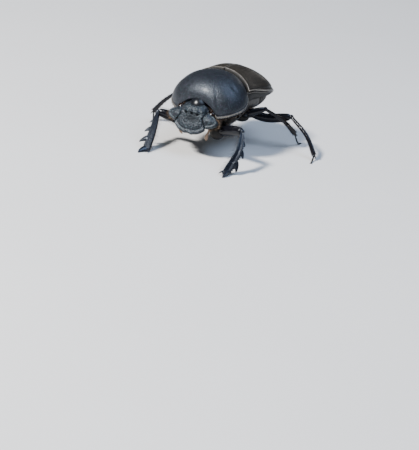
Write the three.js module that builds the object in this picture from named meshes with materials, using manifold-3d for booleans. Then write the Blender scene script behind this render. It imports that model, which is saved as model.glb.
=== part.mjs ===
// A large ball-rolling dung beetle at life size, standing on a level floor.
// Lengths are in millimetres. The beetle faces -Y, its left side is +X and Z is up.
// The trunk is modelled level, about the middle of its neck shield, and then tipped into
// the stance. The legs are modelled in the floor's own frame, from hip to foot.

import * as THREE from 'three';
import { mergeVertices } from 'three/addons/utils/BufferGeometryUtils.js';
import Module from 'manifold-3d';

const wasm = await Module();
wasm.setup();

// ---------------------------------------------------------------- driving dimensions

const GAP = 0.12; // clearance between pieces that meet
const SLIVER = 0.03; // edges and steps smaller than this are merged after a cut

const STANCE = {
  height: 13, // the neck shield's side margin above the floor
  noseDown: THREE.MathUtils.degToRad(10.95),
  lean: THREE.MathUtils.degToRad(-2.33),
};

const PRONOTUM = {
  halfWidth: 10.48,
  widestY: -0.6,
  rear: { y: 6.43, z: 5.68 },
  crown: { y: 0.86, z: 7.33 },
  angle: { x: 5.8, y: -6.75, z: -1.0 }, // the front corners beside the head
  front: { y: -6.24, z: 3.08 }, // the middle of the hollow that takes the head
  rearRoundness: 2.24,
  rim: 0.55,
  cornerTurn: 0.8, // how far round its quarter circle the front corner reaches
};

const PROTHORAX = { bottom: -6.1, ceiling: 0.2 };

const ELYTRA = {
  startY: 3.4,
  baseY: 4.5,
  shoulder: { reach: 0.2, inward: 0.6, down: 0.8 },
  tipY: 21.45,
  halfWidth: 9.55,
  crownZ: 6.16,
  tipZ: -2.86,
  crownFall: 2.78,
  keelZ: 3.16, // the long side keel at the shoulder
  keelDrop: 8.0, // how far it falls by the tip
  taperFrom: 0.49, // the sides run level this far back, then round off
  planRoundness: 2.36,
  archRoundness: 2.2,
  archPower: 0.93, // shapes the arch from keel to crown; lower is fuller
  bandDepth: 2.7, // the upright side wall under the keel
};

const BELLY = {
  startY: 3.6,
  thoraxEndY: 11.6,
  abdomenEndY: 18.6,
  tipY: 20.9,
  frontZ: -6.2,
  deepestZ: -7.3,
  tipZ: -5.2,
  inset: 0.96,
};

const HEAD = {
  seat: new THREE.Vector3(0, -5.5, 1.66),
  turn: new THREE.Euler(
    THREE.MathUtils.degToRad(44.6),
    THREE.MathUtils.degToRad(3.1),
    THREE.MathUtils.degToRad(-0.4),
  ),
  centreY: -2.9,
  dome: 2.0,
  throat: -2.3,
  edge: 0.26,
};

// The left half of the digging plate, from its front notch round to the crown of the head:
// two blunt teeth, the notch before the cheek, the cheek, the eye's seat and the rear lobe.
const HEAD_OUTLINE = [
  [0, -8.55],
  [0.95, -8.85],
  [1.85, -8.55],
  [2.75, -8.4],
  [3.65, -7.7],
  [4.3, -6.9],
  [4.25, -6.4],
  [4.95, -6.3],
  [6.2, -5.8],
  [7.1, -5.0],
  [7.2, -4.0],
  [6.6, -3.2],
  [5.4, -2.6],
  [4.4, -1.8],
  [3.7, -0.95],
  [2.7, -0.45],
  [1.4, -0.5],
];
const HEAD_CORE = { x: 5.2, front: -8.2, rear: -0.9 }; // the smooth oval inside the outline

const NECK = { centre: [0, -5.75, 0.55], radii: [2.6, 2.7, 2.75] };
const EYE = { centre: [4.75, -2.5, 0.15], radii: [0.95, 1.15, 0.85] };

const ANTENNA = {
  stalk: [
    [3.1, -3.4, -1.0],
    [4.4, -5.2, -1.9],
    [4.3, -7.0, -2.6],
  ],
  club: [
    [4.3, -6.8, -2.6],
    [3.9, -7.7, -3.3],
    [3.5, -8.1, -4.2],
  ],
};
const PALP = [
  [1.0, -4.2, -1.6],
  [1.7, -5.9, -2.5],
  [1.6, -7.2, -2.7],
];

// Each leg's joints in the floor's frame. A front leg ends at its tibia's tip: these
// beetles have no front tarsus. The bow is the tibia's sideways bend at its middle.
const LEGS = [
  {
    name: 'front_left', pair: 'front', side: 1,
    hip: [5.0, -3.8, 6.6], knee: [13.5, -6.7, 9.55], ankle: [14.6, -15.0, -0.2], bow: [1.3, -0.2, 0.2],
  },
  {
    name: 'front_right', pair: 'front', side: -1,
    hip: [-4.6, -3.8, 6.2], knee: [-12.0, -5.8, 7.9], ankle: [-8.8, -15.6, -0.2], bow: [-0.1, -0.2, 0.1],
  },
  {
    name: 'middle_left', pair: 'middle', side: 1,
    hip: [6.0, 5.9, 8.8], knee: [10.9, 10.2, 11.0], ankle: [16.5, 18.0, 3.85], bow: [0.5, -0.4, 0.8],
    foot: [16.6, 21.9, 0.14],
  },
  {
    name: 'middle_right', pair: 'middle', side: -1,
    hip: [-5.6, 6.0, 8.3], knee: [-14.4, 7.0, 9.9], ankle: [-20.9, 6.9, 2.8], bow: [-0.3, 0, 0.2],
    foot: [-21.6, 8.4, 0.14],
  },
  {
    name: 'hind_left', pair: 'hind', side: 1,
    hip: [4.6, 11.7, 8.0], knee: [15.4, 16.9, 8.5], ankle: [25.2, 13.4, 1.3], bow: [0.5, 0.2, 0.8],
    foot: [26.2, 10.1, 0.14],
  },
  {
    name: 'hind_right', pair: 'hind', side: -1,
    hip: [-5.0, 10.9, 8.0], knee: [-13.5, 17.5, 9.0], ankle: [-16.0, 27.3, 2.0], bow: [-0.5, 0.2, 0.6],
    foot: [-15.6, 31.0, 0.14],
  },
];
const END_ROUNDING = 0.72; // a limb's end ring, as a share of its full width

// Each pair's measures: the femur's arch in its middle, where the tibia bends most, the
// coxa's half-sizes, then half-widths and half-thicknesses from root (0) to tip (1).
const LIMBS = {
  front: {
    sag: 0.2,
    bend: 0.42,
    coxa: [2.1, 1.9, 2.3],
    femur: [[0, 0.9, 0.8], [0.25, 1.35, 1.0], [0.7, 1.25, 0.95], [1, 0.7, 0.65]],
    tibia: [[0, 0.5, 0.5], [0.25, 0.72, 0.5], [0.7, 0.85, 0.45], [0.92, 1.0, 0.45], [1, 0.8, 0.45]],
  },
  middle: {
    sag: 0.1,
    bend: 0.57,
    coxa: [2.6, 1.6, 1.4],
    femur: [[0, 0.7, 0.65], [0.4, 1.05, 0.8], [0.8, 0.85, 0.7], [1, 0.6, 0.55]],
    tibia: [[0, 0.42, 0.4], [0.3, 0.45, 0.4], [0.8, 0.58, 0.48], [1, 0.72, 0.55]],
  },
  hind: {
    sag: -0.9,
    bend: 0.57,
    coxa: [2.8, 1.5, 1.3],
    femur: [[0, 0.75, 0.65], [0.35, 1.2, 0.85], [0.75, 1.15, 0.85], [1, 0.8, 0.65]],
    tibia: [[0, 0.45, 0.42], [0.3, 0.52, 0.45], [0.8, 0.64, 0.5], [1, 0.75, 0.55]],
  },
};
const KNEE_BALL = 0.62;
const ANKLE_BALL = 0.36;
const TARSUS = { joints: 5, radius: 0.31, waist: 0.055 };
const SIDE_TEETH = [[0.27, 0.7], [0.46, 1], [0.7, 1.1]]; // place along the front tibia, and size
const TOOTH = { length: 1.85, root: 0.6, tip: 0.16 };
const SPUR = { length: 1.7, root: 0.3, tip: 0.14 };

// ---------------------------------------------------------------- finishes

function finish(colour, roughness, metalness = 0) {
  return new THREE.MeshStandardMaterial({ color: colour, roughness, metalness });
}

const SHIELD = finish('#22262c', 0.45);
const WINGCASE = finish('#1c1a18', 0.42);
const FACE = finish('#262a30', 0.6);
const UNDERSIDE = finish('#121316', 0.4);
const LEG = finish('#0f1114', 0.25);
const EYE_GLASS = finish('#1a0d08', 0.12);
const FEELER = finish('#7c5027', 0.45);

// ---------------------------------------------------------------- shape helpers

const vec = (x, y, z) => new THREE.Vector3(x, y, z);
const vecOf = (list) => new THREE.Vector3(...list);
const mirrored = (list, side) => [list[0] * side, list[1], list[2]];
const mix = THREE.MathUtils.lerp;

// Reads a list of [place, value, value...] rows at a place between them.
function readRows(rows, place) {
  let i = 1;
  while (i < rows.length - 1 && rows[i][0] < place) {
    i += 1;
  }
  const share = (place - rows[i - 1][0]) / (rows[i][0] - rows[i - 1][0]);
  return rows[i].slice(1).map((value, k) => mix(rows[i - 1][k + 1], value, share));
}

function volumeOf(points, index) {
  let sum = 0;
  for (let i = 0; i < index.length; i += 3) {
    const [a, b, c] = [points[index[i]], points[index[i + 1]], points[index[i + 2]]];
    sum += a.dot(b.clone().cross(c)) / 6;
  }
  return sum;
}

// A closed body through a row of rings, with one pole beyond each end.
function loft(rings, startPole, endPole) {
  const around = rings[0].length;
  const points = [startPole, ...rings.flat(), endPole];
  const end = points.length - 1;
  const last = rings.length - 1;
  const at = (ring, i) => 1 + ring * around + (i % around);
  const index = [];
  for (let i = 0; i < around; i += 1) {
    index.push(0, at(0, i + 1), at(0, i));
    for (let ring = 0; ring < last; ring += 1) {
      index.push(at(ring, i), at(ring, i + 1), at(ring + 1, i + 1));
      index.push(at(ring, i), at(ring + 1, i + 1), at(ring + 1, i));
    }
    index.push(at(last, i), at(last, i + 1), end);
  }
  if (volumeOf(points, index) < 0) {
    index.reverse();
  }
  const geometry = new THREE.BufferGeometry().setFromPoints(points);
  geometry.setIndex(index);
  return geometry;
}

function middleOf(ring) {
  const sum = ring.reduce((total, point) => total.add(point), vec(0, 0, 0));
  return sum.divideScalar(ring.length);
}

// A rounded limb along a smooth path. rows gives its half-width and half-thickness,
// and the width lies along the direction called broad.
function limb(path, rows, broad, steps = 8, sides = 10) {
  const curve = new THREE.CatmullRomCurve3(path);
  const places = [0.02];
  for (let i = 0; i < steps; i += 1) {
    places.push(mix(0.09, 0.91, i / (steps - 1)));
  }
  places.push(0.98);
  const rings = places.map((place) => {
    const along = curve.getTangentAt(place);
    const wide = broad.clone().addScaledVector(along, -broad.dot(along)).normalize();
    const thick = along.clone().cross(wide);
    const fromEnd = Math.min(place, 1 - place);
    const round = fromEnd < 0.05 ? END_ROUNDING : 1;
    const [width, thickness] = readRows(rows, place);
    const ring = [];
    for (let i = 0; i < sides; i += 1) {
      const turn = (i / sides) * 2 * Math.PI;
      const point = curve.getPointAt(place);
      point.addScaledVector(wide, Math.cos(turn) * width * round);
      point.addScaledVector(thick, Math.sin(turn) * thickness * round);
      ring.push(point);
    }
    return ring;
  });
  return loft(rings, path[0], path[path.length - 1]);
}

// A short blunt-pointed tooth or spur from a root along a direction.
function spike(root, direction, size) {
  const helper = Math.abs(direction.z) < 0.9 ? vec(0, 0, 1) : vec(1, 0, 0);
  const across = helper.cross(direction).normalize();
  const ringAt = (reach, radius) => [0, 1, 2, 3, 4, 5].map((i) => {
    const spoke = across.clone().applyAxisAngle(direction, (i * Math.PI) / 3);
    return root.clone().addScaledVector(direction, reach).addScaledVector(spoke, radius);
  });
  const rings = [ringAt(0, size.root), ringAt(size.length * 0.9, size.tip)];
  return loft(rings, root, root.clone().addScaledVector(direction, size.length));
}

function ellipsoid(radii, around = 16, down = 10) {
  const geometry = new THREE.SphereGeometry(1, around, down);
  geometry.rotateX(Math.PI / 2);
  return geometry.scale(...radii);
}

// ---------------------------------------------------------------- solids: join and cut

function toSolid(geometry) {
  const plain = geometry.clone();
  plain.deleteAttribute('normal');
  plain.deleteAttribute('uv');
  const merged = mergeVertices(plain, 1e-4);
  return new wasm.Manifold(new wasm.Mesh({
    numProp: 3,
    vertProperties: new Float32Array(merged.attributes.position.array),
    triVerts: new Uint32Array(merged.index.array),
  }));
}

function toGeometry(solid) {
  const mesh = solid.getMesh();
  const geometry = new THREE.BufferGeometry();
  geometry.setAttribute('position', new THREE.BufferAttribute(mesh.vertProperties, 3));
  geometry.setIndex(new THREE.BufferAttribute(mesh.triVerts, 1));
  geometry.computeVertexNormals();
  return geometry;
}

function joined(geometries) {
  const solids = geometries.map(toSolid);
  return toGeometry(solids.reduce((whole, next) => whole.add(next)));
}

// The largest body of a cut solid, without the slivers that cutting leaves.
function biggest(solid) {
  const bodies = solid.simplify(SLIVER).decompose();
  return bodies.reduce((most, body) => (body.volume() > most.volume() ? body : most));
}

// The mesh as a solid in the beetle's frame, grown all round by a clearance.
function placed(mesh, growth = 0) {
  const geometry = mesh.geometry.clone();
  if (growth > 0) {
    geometry.computeBoundingBox();
    const centre = geometry.boundingBox.getCenter(vec(0, 0, 0));
    const size = geometry.boundingBox.getSize(vec(0, 0, 0));
    const grow = (span) => 1 + (2 * growth) / span;
    geometry.translate(-centre.x, -centre.y, -centre.z);
    geometry.scale(grow(size.x), grow(size.y), grow(size.z));
    geometry.translate(centre.x, centre.y, centre.z);
  }
  mesh.updateWorldMatrix(true, false);
  return toSolid(geometry.applyMatrix4(mesh.matrixWorld));
}

// Cuts the space of other pieces, and their clearance, out of a mesh.
function carve(mesh, cutters) {
  const whole = placed(mesh);
  const cut = cutters.reduce((body, cutter) => body.subtract(cutter), whole);
  const back = mesh.matrixWorld.clone().invert();
  mesh.geometry = toGeometry(biggest(cut)).applyMatrix4(back);
}

// A hollow face moves inwards when its body is scaled up, so the body itself is kept too.
const grown = (mesh) => placed(mesh).add(placed(mesh, GAP));

function ballAt(centre, radius) {
  const ball = new THREE.IcosahedronGeometry(radius, 1);
  return toSolid(ball.translate(centre.x, centre.y, centre.z));
}

function belowFloor() {
  const reach = 100;
  const block = new THREE.BoxGeometry(reach, reach, 10);
  return toSolid(block.translate(0, 0, -5));
}

// ---------------------------------------------------------------- the scene graph

const beetle = new THREE.Group();
const trunk = new THREE.Group();
const head = new THREE.Group();
const legs = new THREE.Group();
trunk.position.z = STANCE.height;
trunk.rotation.set(STANCE.noseDown, STANCE.lean, 0);
head.position.copy(HEAD.seat);
head.rotation.copy(HEAD.turn);
trunk.add(head);
beetle.add(trunk, legs);

function addPiece(name, geometry, material, parent) {
  const mesh = new THREE.Mesh(geometry, material);
  mesh.name = name;
  parent.add(mesh);
  return mesh;
}

// ---------------------------------------------------------------- neck shield and prothorax

// The shield's margin seen from above, all the way round from the middle of its rear edge.
function shieldMargin() {
  const { halfWidth, widestY, rear, angle, front, rearRoundness, cornerTurn } = PRONOTUM;
  const half = [];
  const rearSteps = 9;
  for (let i = 0; i <= rearSteps; i += 1) {
    const turn = (Math.PI / 2) * (1 - i / rearSteps);
    const x = halfWidth * Math.cos(turn) ** (2 / rearRoundness);
    const y = widestY + (rear.y - widestY) * Math.sin(turn) ** (2 / rearRoundness);
    const z = rear.z * Math.max(0, 1 - (x / halfWidth) ** 2) ** 0.8;
    half.push(vec(x, y, z));
  }
  const sideSteps = 6;
  const fullTurn = (Math.PI / 2) * cornerTurn;
  for (let i = 1; i <= sideSteps; i += 1) {
    const share = i / sideSteps;
    const turn = fullTurn * share;
    const inward = (Math.cos(turn) - Math.cos(fullTurn)) / (1 - Math.cos(fullTurn));
    const x = angle.x + (halfWidth - angle.x) * inward;
    const y = widestY + (angle.y - widestY) * (Math.sin(turn) / Math.sin(fullTurn));
    half.push(vec(x, y, angle.z * share ** 1.5));
  }
  const frontSteps = 5;
  for (let i = 1; i <= frontSteps; i += 1) {
    const out = 1 - i / frontSteps;
    const y = front.y + (angle.y - front.y) * out ** 2.2;
    const z = angle.z + (front.z - angle.z) * (1 - out ** 2) ** 0.7;
    half.push(vec(angle.x * out, y, z));
  }
  const otherHalf = half.slice(1, -1).reverse();
  return [...half, ...otherHalf.map((point) => vec(-point.x, point.y, point.z))];
}

// Evens out the corners of a closed loop of points.
function smoothed(loop, rounds) {
  let points = loop;
  for (let round = 0; round < rounds; round += 1) {
    points = points.map((point, i) => {
      const before = points[(i + points.length - 1) % points.length];
      const after = points[(i + 1) % points.length];
      return point.clone().multiplyScalar(2).add(before).add(after).divideScalar(4);
    });
  }
  return points;
}

const MARGIN = shieldMargin();
const SOFT_MARGIN = smoothed(MARGIN, 10);

// A ring of points drawn in from the margin to the share r, at heights given by zAt.
// The margin's corners fade out away from it.
function marginRing(r, zAt) {
  return MARGIN.map((point, i) => {
    const edge = SOFT_MARGIN[i].clone().lerp(point, r ** 3);
    const y = mix(PRONOTUM.crown.y, edge.y, r);
    return vec(edge.x * r, y, zAt(edge, r));
  });
}

const shieldTop = (edge, r) => mix(edge.z, PRONOTUM.crown.z, (1 - r ** 2.3) ** (1 / 1.8));
const ceilingAt = (drop) => (edge, r) => mix(edge.z - drop, PROTHORAX.ceiling - drop, 1 - r ** 3);

// The underside falls steeply behind and in front, and slants in from the sides.
function breastAt(edge, r) {
  const sideways = (Math.abs(edge.x) / PRONOTUM.halfWidth) ** 2;
  const reach = (1 - r ** mix(6, 2.4, sideways)) ** (1 / mix(2.4, 1.35, sideways));
  return mix(edge.z - PRONOTUM.rim - GAP, PROTHORAX.bottom, reach);
}

function pronotumShape() {
  const { crown, rim } = PRONOTUM;
  const under = [0.45, 0.85].map((r) => marginRing(r, ceilingAt(rim)));
  const lip = marginRing(1, (edge) => edge.z - rim * 0.75);
  const over = [1, 0.97, 0.9, 0.79, 0.64, 0.45, 0.23].map((r) => marginRing(r, shieldTop));
  const below = vec(0, crown.y, PROTHORAX.ceiling - rim);
  return loft([...under, lip, ...over], below, vec(0, crown.y, crown.z));
}

function prosternumShape() {
  const { crown, rim } = PRONOTUM;
  const drop = rim + GAP;
  const over = [0.45, 0.85, 0.94].map((r) => marginRing(r, ceilingAt(drop)));
  const under = [0.94, 0.85, 0.68, 0.38].map((r) => marginRing(r, breastAt));
  const above = vec(0, crown.y, PROTHORAX.ceiling - drop);
  return loft([...over, ...under], above, vec(0, crown.y, PROTHORAX.bottom));
}

// The whole first segment, shield and breast together, as its neighbours meet it.
function prothoraxShape() {
  const under = [0.97, 0.9, 0.75, 0.55, 0.3].map((r) => marginRing(r, breastAt)).reverse();
  const lip = marginRing(1, (edge) => edge.z - PRONOTUM.rim);
  const over = [1, 0.97, 0.9, 0.75, 0.55, 0.3].map((r) => marginRing(r, shieldTop));
  const { crown } = PRONOTUM;
  return loft([...under, lip, ...over], vec(0, crown.y, PROTHORAX.bottom), vec(0, crown.y, crown.z));
}

const pronotum = addPiece('pronotum', pronotumShape(), SHIELD, trunk);
addPiece('prosternum', prosternumShape(), UNDERSIDE, trunk);

// ---------------------------------------------------------------- wing cases and rear body

// The wing cases' measures at one station: 0 at the shoulder, 1 at the tip, below 0 in
// front of the shoulder.
function station(share) {
  const s = Math.max(0, share);
  const { baseY, tipY, halfWidth, crownZ, tipZ, keelZ, keelDrop, bandDepth, taperFrom } = ELYTRA;
  const taper = Math.max(0, (s - taperFrom) / (1 - taperFrom)) ** ELYTRA.planRoundness;
  const crown = mix(crownZ, tipZ, s ** ELYTRA.crownFall);
  const tuck = Math.max(0, 1 - (share + 0.06) / ELYTRA.shoulder.reach) ** 2;
  const width = halfWidth * Math.max(0, 1 - taper) ** (1 / ELYTRA.planRoundness);
  return {
    y: mix(baseY, tipY, share),
    halfWidth: width - ELYTRA.shoulder.inward * tuck,
    crown,
    keel: Math.min(keelZ - keelDrop * share, crown) - ELYTRA.shoulder.down * tuck,
    band: bandDepth * mix(1, 0.25, s),
    foot: width * mix(0.96, 0.84, s),
  };
}

const shareAtY = (y) => (y - ELYTRA.baseY) / (ELYTRA.tipY - ELYTRA.baseY);

function wingCaseShape(side) {
  const steps = 12;
  const shares = [shareAtY(ELYTRA.startY)];
  for (let i = 0; i <= steps; i += 1) {
    shares.push(Math.sin((Math.PI / 2) * (i / steps) * 0.985));
  }
  const acrossSteps = 9;
  const rings = shares.map((share) => {
    const at = station(share);
    const inner = GAP / 2;
    const foot = at.keel - at.band;
    const ring = [];
    for (let j = 0; j <= acrossSteps; j += 1) {
      const out = Math.sin((Math.PI / 2) * (j / acrossSteps));
      const rise = Math.max(0, 1 - out ** ELYTRA.archRoundness) ** ELYTRA.archPower;
      ring.push(vec(mix(inner, at.halfWidth, out), at.y, mix(at.keel, at.crown, rise)));
    }
    ring.push(vec(mix(at.foot, at.halfWidth, 0.65), at.y, at.keel - at.band * 0.5));
    ring.push(vec(at.foot, at.y, foot));
    ring.push(vec(inner, at.y, foot));
    return ring.map((point) => vec(point.x * side, point.y, point.z));
  });
  const end = middleOf(rings[rings.length - 1]);
  end.y = ELYTRA.tipY;
  return loft(rings, middleOf(rings[0]), end);
}

// The belly's lowest line sags under the abdomen and rises to the tail.
function bellyLine(share) {
  const s = Math.max(0, share);
  const sag = mix(BELLY.frontZ, BELLY.deepestZ, Math.sin(Math.min(1, s / 0.6) * Math.PI / 2));
  return mix(sag, BELLY.tipZ, Math.max(0, (s - 0.5) / 0.5) ** 2);
}

// A length of the rear body under the wing cases, from one y to another. The last one is
// rounded off behind.
function bellyShape(startY, endY, rounded) {
  const steps = rounded ? 4 : 3;
  const rings = [];
  for (let i = 0; i <= steps; i += 1) {
    const along = rounded ? Math.sin((Math.PI / 2) * (i / steps)) : i / steps;
    const fade = rounded ? Math.sqrt(1 - (along * 0.85) ** 3) : 1;
    const share = shareAtY(mix(startY, endY, along));
    const at = station(share);
    const width = at.foot * mix(BELLY.inset, 0.86, Math.max(0, share)) * mix(0.6, 1, fade);
    const top = at.keel - at.band - GAP;
    const bottom = mix(top, Math.min(bellyLine(share), top - 0.4), fade);
    const ring = [];
    for (let j = 0; j <= 2; j += 1) {
      ring.push(vec(mix(-width, width, j / 2), at.y, top));
    }
    for (let j = 1; j < 10; j += 1) {
      const turn = (Math.PI * j) / 10;
      const depth = Math.sin(turn) ** 0.75;
      ring.push(vec(width * Math.cos(turn), at.y, mix(top, bottom, depth)));
    }
    rings.push(ring);
  }
  return loft(rings, middleOf(rings[0]), middleOf(rings[steps]));
}

const prothoraxMesh = new THREE.Mesh(prothoraxShape(), UNDERSIDE);
trunk.add(prothoraxMesh);
const prothorax = grown(prothoraxMesh);
trunk.remove(prothoraxMesh);

for (const [name, side] of [['left', 1], ['right', -1]]) {
  const wingCase = addPiece(`elytron_${name}`, wingCaseShape(side), WINGCASE, trunk);
  carve(wingCase, [prothorax]);
}

const metathorax = addPiece(
  'metathorax', bellyShape(BELLY.startY, BELLY.thoraxEndY, false), UNDERSIDE, trunk,
);
carve(metathorax, [prothorax]);
const abdomen = addPiece(
  'abdomen', bellyShape(BELLY.thoraxEndY + GAP, BELLY.abdomenEndY, false), UNDERSIDE, trunk,
);
addPiece('pygidium', bellyShape(BELLY.abdomenEndY + GAP, BELLY.tipY, true), UNDERSIDE, trunk);

// ---------------------------------------------------------------- head

function headShape() {
  const { centreY, dome, throat, edge } = HEAD;
  const rear = HEAD_OUTLINE[HEAD_OUTLINE.length - 1];
  const outline = [
    ...HEAD_OUTLINE,
    [0, rear[1] - 0.15],
    ...HEAD_OUTLINE.slice(1).reverse().map(([x, y]) => [-x, y]),
  ];
  const coreY = (HEAD_CORE.front + HEAD_CORE.rear) / 2;
  const coreLength = (HEAD_CORE.rear - HEAD_CORE.front) / 2;
  const ringAt = (r, zAt) => outline.map(([x, y]) => {
    const turn = Math.atan2((y - coreY) / coreLength, x / HEAD_CORE.x);
    const core = vec(HEAD_CORE.x * Math.cos(turn), coreY + coreLength * Math.sin(turn), 0);
    const edge = core.lerp(vec(x, y, 0), r ** 3);
    return vec(edge.x * r, mix(centreY, edge.y, r), zAt(r));
  });
  const over = (r) => edge + (dome - edge) * (1 - r ** 2.3) ** 0.8;
  const under = (r) => -edge + (throat + edge) * (1 - r ** 3) ** 0.9;
  const top = [1, 0.92, 0.76, 0.55, 0.28].map((r) => ringAt(r, over));
  const bottom = [0.6, 1].map((r) => ringAt(r, under));
  return loft([...bottom, ...top], vec(0, centreY, throat), vec(0, centreY, dome));
}

const eyes = [];
for (const [name, side] of [['left', 1], ['right', -1]]) {
  const eye = addPiece(`eye_${name}`, ellipsoid(EYE.radii, 12, 6), EYE_GLASS, head);
  eye.position.set(...mirrored(EYE.centre, side));
  eyes.push(eye);
}

const headPlate = addPiece('head', headShape(), FACE, head);
carve(headPlate, [prothorax, ...eyes.map(grown)]);

const neck = addPiece('neck', ellipsoid(NECK.radii, 16, 10), LEG, trunk);
neck.position.set(...NECK.centre);
carve(neck, [prothorax, grown(headPlate)]);
for (const eye of eyes) {
  carve(eye, [prothorax, grown(neck)]);
}

const stalkRows = [[0, 0.3, 0.3], [1, 0.26, 0.26]];
const clubRows = [[0, 0.3, 0.26], [0.4, 0.62, 0.4], [1, 0.4, 0.3]];
const palpRows = [[0, 0.3, 0.3], [1, 0.26, 0.26]];

for (const [name, side] of [['left', 1], ['right', -1]]) {
  const pathOf = (points) => points.map((point) => vecOf(mirrored(point, side)));
  const stalk = limb(pathOf(ANTENNA.stalk), stalkRows, vec(0, 0, 1), 4, 6);
  const club = limb(pathOf(ANTENNA.club), clubRows, vec(1, 0, 0), 4, 8);
  const antenna = addPiece(`antenna_${name}`, joined([stalk, club]), FEELER, head);
  carve(antenna, [grown(headPlate)]);
  const palpShape = limb(pathOf(PALP), palpRows, vec(1, 0, 0), 4, 8);
  const palp = addPiece(`palp_${name}`, palpShape, FEELER, head);
  carve(palp, [grown(headPlate)]);
}

// ---------------------------------------------------------------- legs

const bodyCutters = [prothorax, grown(metathorax), grown(abdomen)];
const floor = belowFloor();

function addLeg(leg) {
  const rows = LIMBS[leg.pair];
  const hip = vecOf(leg.hip);
  const knee = vecOf(leg.knee);
  const ankle = vecOf(leg.ankle);
  const outward = vec(leg.side, 0, 0);
  const upward = vec(0, 0, 1);

  const coxa = addPiece(`coxa_${leg.name}`, ellipsoid(rows.coxa, 10, 6), LEG, legs);
  coxa.position.copy(hip);
  coxa.rotation.copy(trunk.rotation);
  carve(coxa, bodyCutters);

  const thigh = hip.clone().lerp(knee, 0.5).add(vec(0, 0, rows.sag));
  const femurShape = limb([hip, thigh, knee], rows.femur, upward, 5, 9);
  const femur = addPiece(`femur_${leg.name}`, femurShape, LEG, legs);

  const shin = knee.clone().lerp(ankle, rows.bend).add(vecOf(leg.bow));
  const along = ankle.clone().sub(knee).normalize();
  const broad = leg.pair === 'front' ? outward : upward;
  const path = [knee, shin, ankle];
  const pieces = [limb(path, rows.tibia, broad, 7, 8)];
  pieces.push(new THREE.IcosahedronGeometry(KNEE_BALL, 1).translate(knee.x, knee.y, knee.z));
  const curve = new THREE.CatmullRomCurve3(path);
  if (leg.pair === 'front') {
    for (const [place, size] of SIDE_TEETH) {
      const [width] = readRows(rows.tibia, place);
      const root = curve.getPointAt(place).addScaledVector(outward, width * 0.4);
      const lean = outward.clone().addScaledVector(along, 0.6).normalize();
      const tooth = { length: TOOTH.length * size, root: TOOTH.root * size, tip: TOOTH.tip };
      pieces.push(spike(root, lean, tooth));
    }
    const toe = curve.getPointAt(0.95).addScaledVector(outward, 0.5);
    const toeWay = vec(leg.side, along.y * 0.9, -0.1).normalize();
    pieces.push(spike(toe, toeWay, TOOTH));
    const heel = curve.getPointAt(0.94).addScaledVector(outward, -0.4);
    const heelWay = vec(-leg.side * 0.55, along.y, -0.12).normalize();
    pieces.push(spike(heel, heelWay, SPUR));
  } else {
    const heel = curve.getPointAt(0.95);
    const heelWay = along.clone().addScaledVector(outward, 0.35).normalize();
    pieces.push(spike(heel, heelWay, SPUR));
  }
  const tibia = addPiece(`tibia_${leg.name}`, joined(pieces), LEG, legs);
  carve(femur, [...bodyCutters, grown(coxa), ballAt(knee, KNEE_BALL + GAP), placed(tibia)]);
  if (leg.foot === undefined) {
    carve(tibia, [floor]);
    return;
  }

  const foot = vecOf(leg.foot);
  const instep = ankle.clone().lerp(foot, 0.5);
  instep.z = mix(ankle.z, foot.z, 0.75);
  const sole = ankle.clone().lerp(foot, 0.8);
  sole.z = foot.z;
  const tarsusRows = [];
  const beads = TARSUS.joints * 2;
  for (let i = 0; i <= beads; i += 1) {
    const radius = TARSUS.radius - (i % 2 ? 0 : TARSUS.waist);
    tarsusRows.push([i / beads, radius, radius]);
  }
  const tarsusShape = limb([ankle, instep, sole, foot], tarsusRows, upward, beads, 6);
  const tarsus = addPiece(`tarsus_${leg.name}`, tarsusShape, LEG, legs);
  carve(tarsus, [floor]);
  carve(tibia, [floor, ballAt(ankle, ANKLE_BALL + GAP), grown(tarsus)]);
}

LEGS.forEach(addLeg);

// The origin is on the floor, under the middle of the whole beetle.
const bounds = new THREE.Box3().setFromObject(beetle);
const middle = bounds.getCenter(vec(0, 0, 0));
beetle.position.set(-middle.x, -middle.y, -bounds.min.z);

export default beetle;
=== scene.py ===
# %% [markdown]
# # A ball-rolling dung beetle
# The beetle is black horn all over: a domed neck shield, two long wing cases, a digging head and six
# jointed legs. It is modelled in millimetres in its own level frame, piece by piece, and each finished
# piece is then set into the fixed frame, which is in metres. Working in millimetres keeps the numbers
# easy to picture.

# %% Load the fixed frame and keep its size
import math
from contextlib import contextmanager

import bpy
import numpy as np
from mathutils import Matrix, Vector, noise


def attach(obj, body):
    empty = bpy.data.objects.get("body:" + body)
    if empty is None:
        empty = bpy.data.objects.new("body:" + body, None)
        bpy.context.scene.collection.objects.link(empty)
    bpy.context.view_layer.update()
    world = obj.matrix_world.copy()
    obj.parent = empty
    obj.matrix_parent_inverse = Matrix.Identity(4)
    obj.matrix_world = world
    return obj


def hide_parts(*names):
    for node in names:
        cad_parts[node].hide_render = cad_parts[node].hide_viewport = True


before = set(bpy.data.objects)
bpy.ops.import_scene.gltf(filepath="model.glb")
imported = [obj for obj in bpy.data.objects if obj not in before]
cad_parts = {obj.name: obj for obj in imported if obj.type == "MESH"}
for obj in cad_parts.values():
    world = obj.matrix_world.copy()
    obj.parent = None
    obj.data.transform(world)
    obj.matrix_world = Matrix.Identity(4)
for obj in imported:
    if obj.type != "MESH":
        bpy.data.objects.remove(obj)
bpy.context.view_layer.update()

# %% [markdown]
# ## Where the trunk and the head sit
# The trunk is tipped nose down and leans a little. Its frame has the neck shield's side margin at zero
# height and the beetle's middle at x = 0. That frame's place could be written down as numbers, but the
# packed neck shield tells it as well: turned back level, its highest point and its rear edge have known
# places. So the dressed beetle always sits where the solids are.

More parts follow.
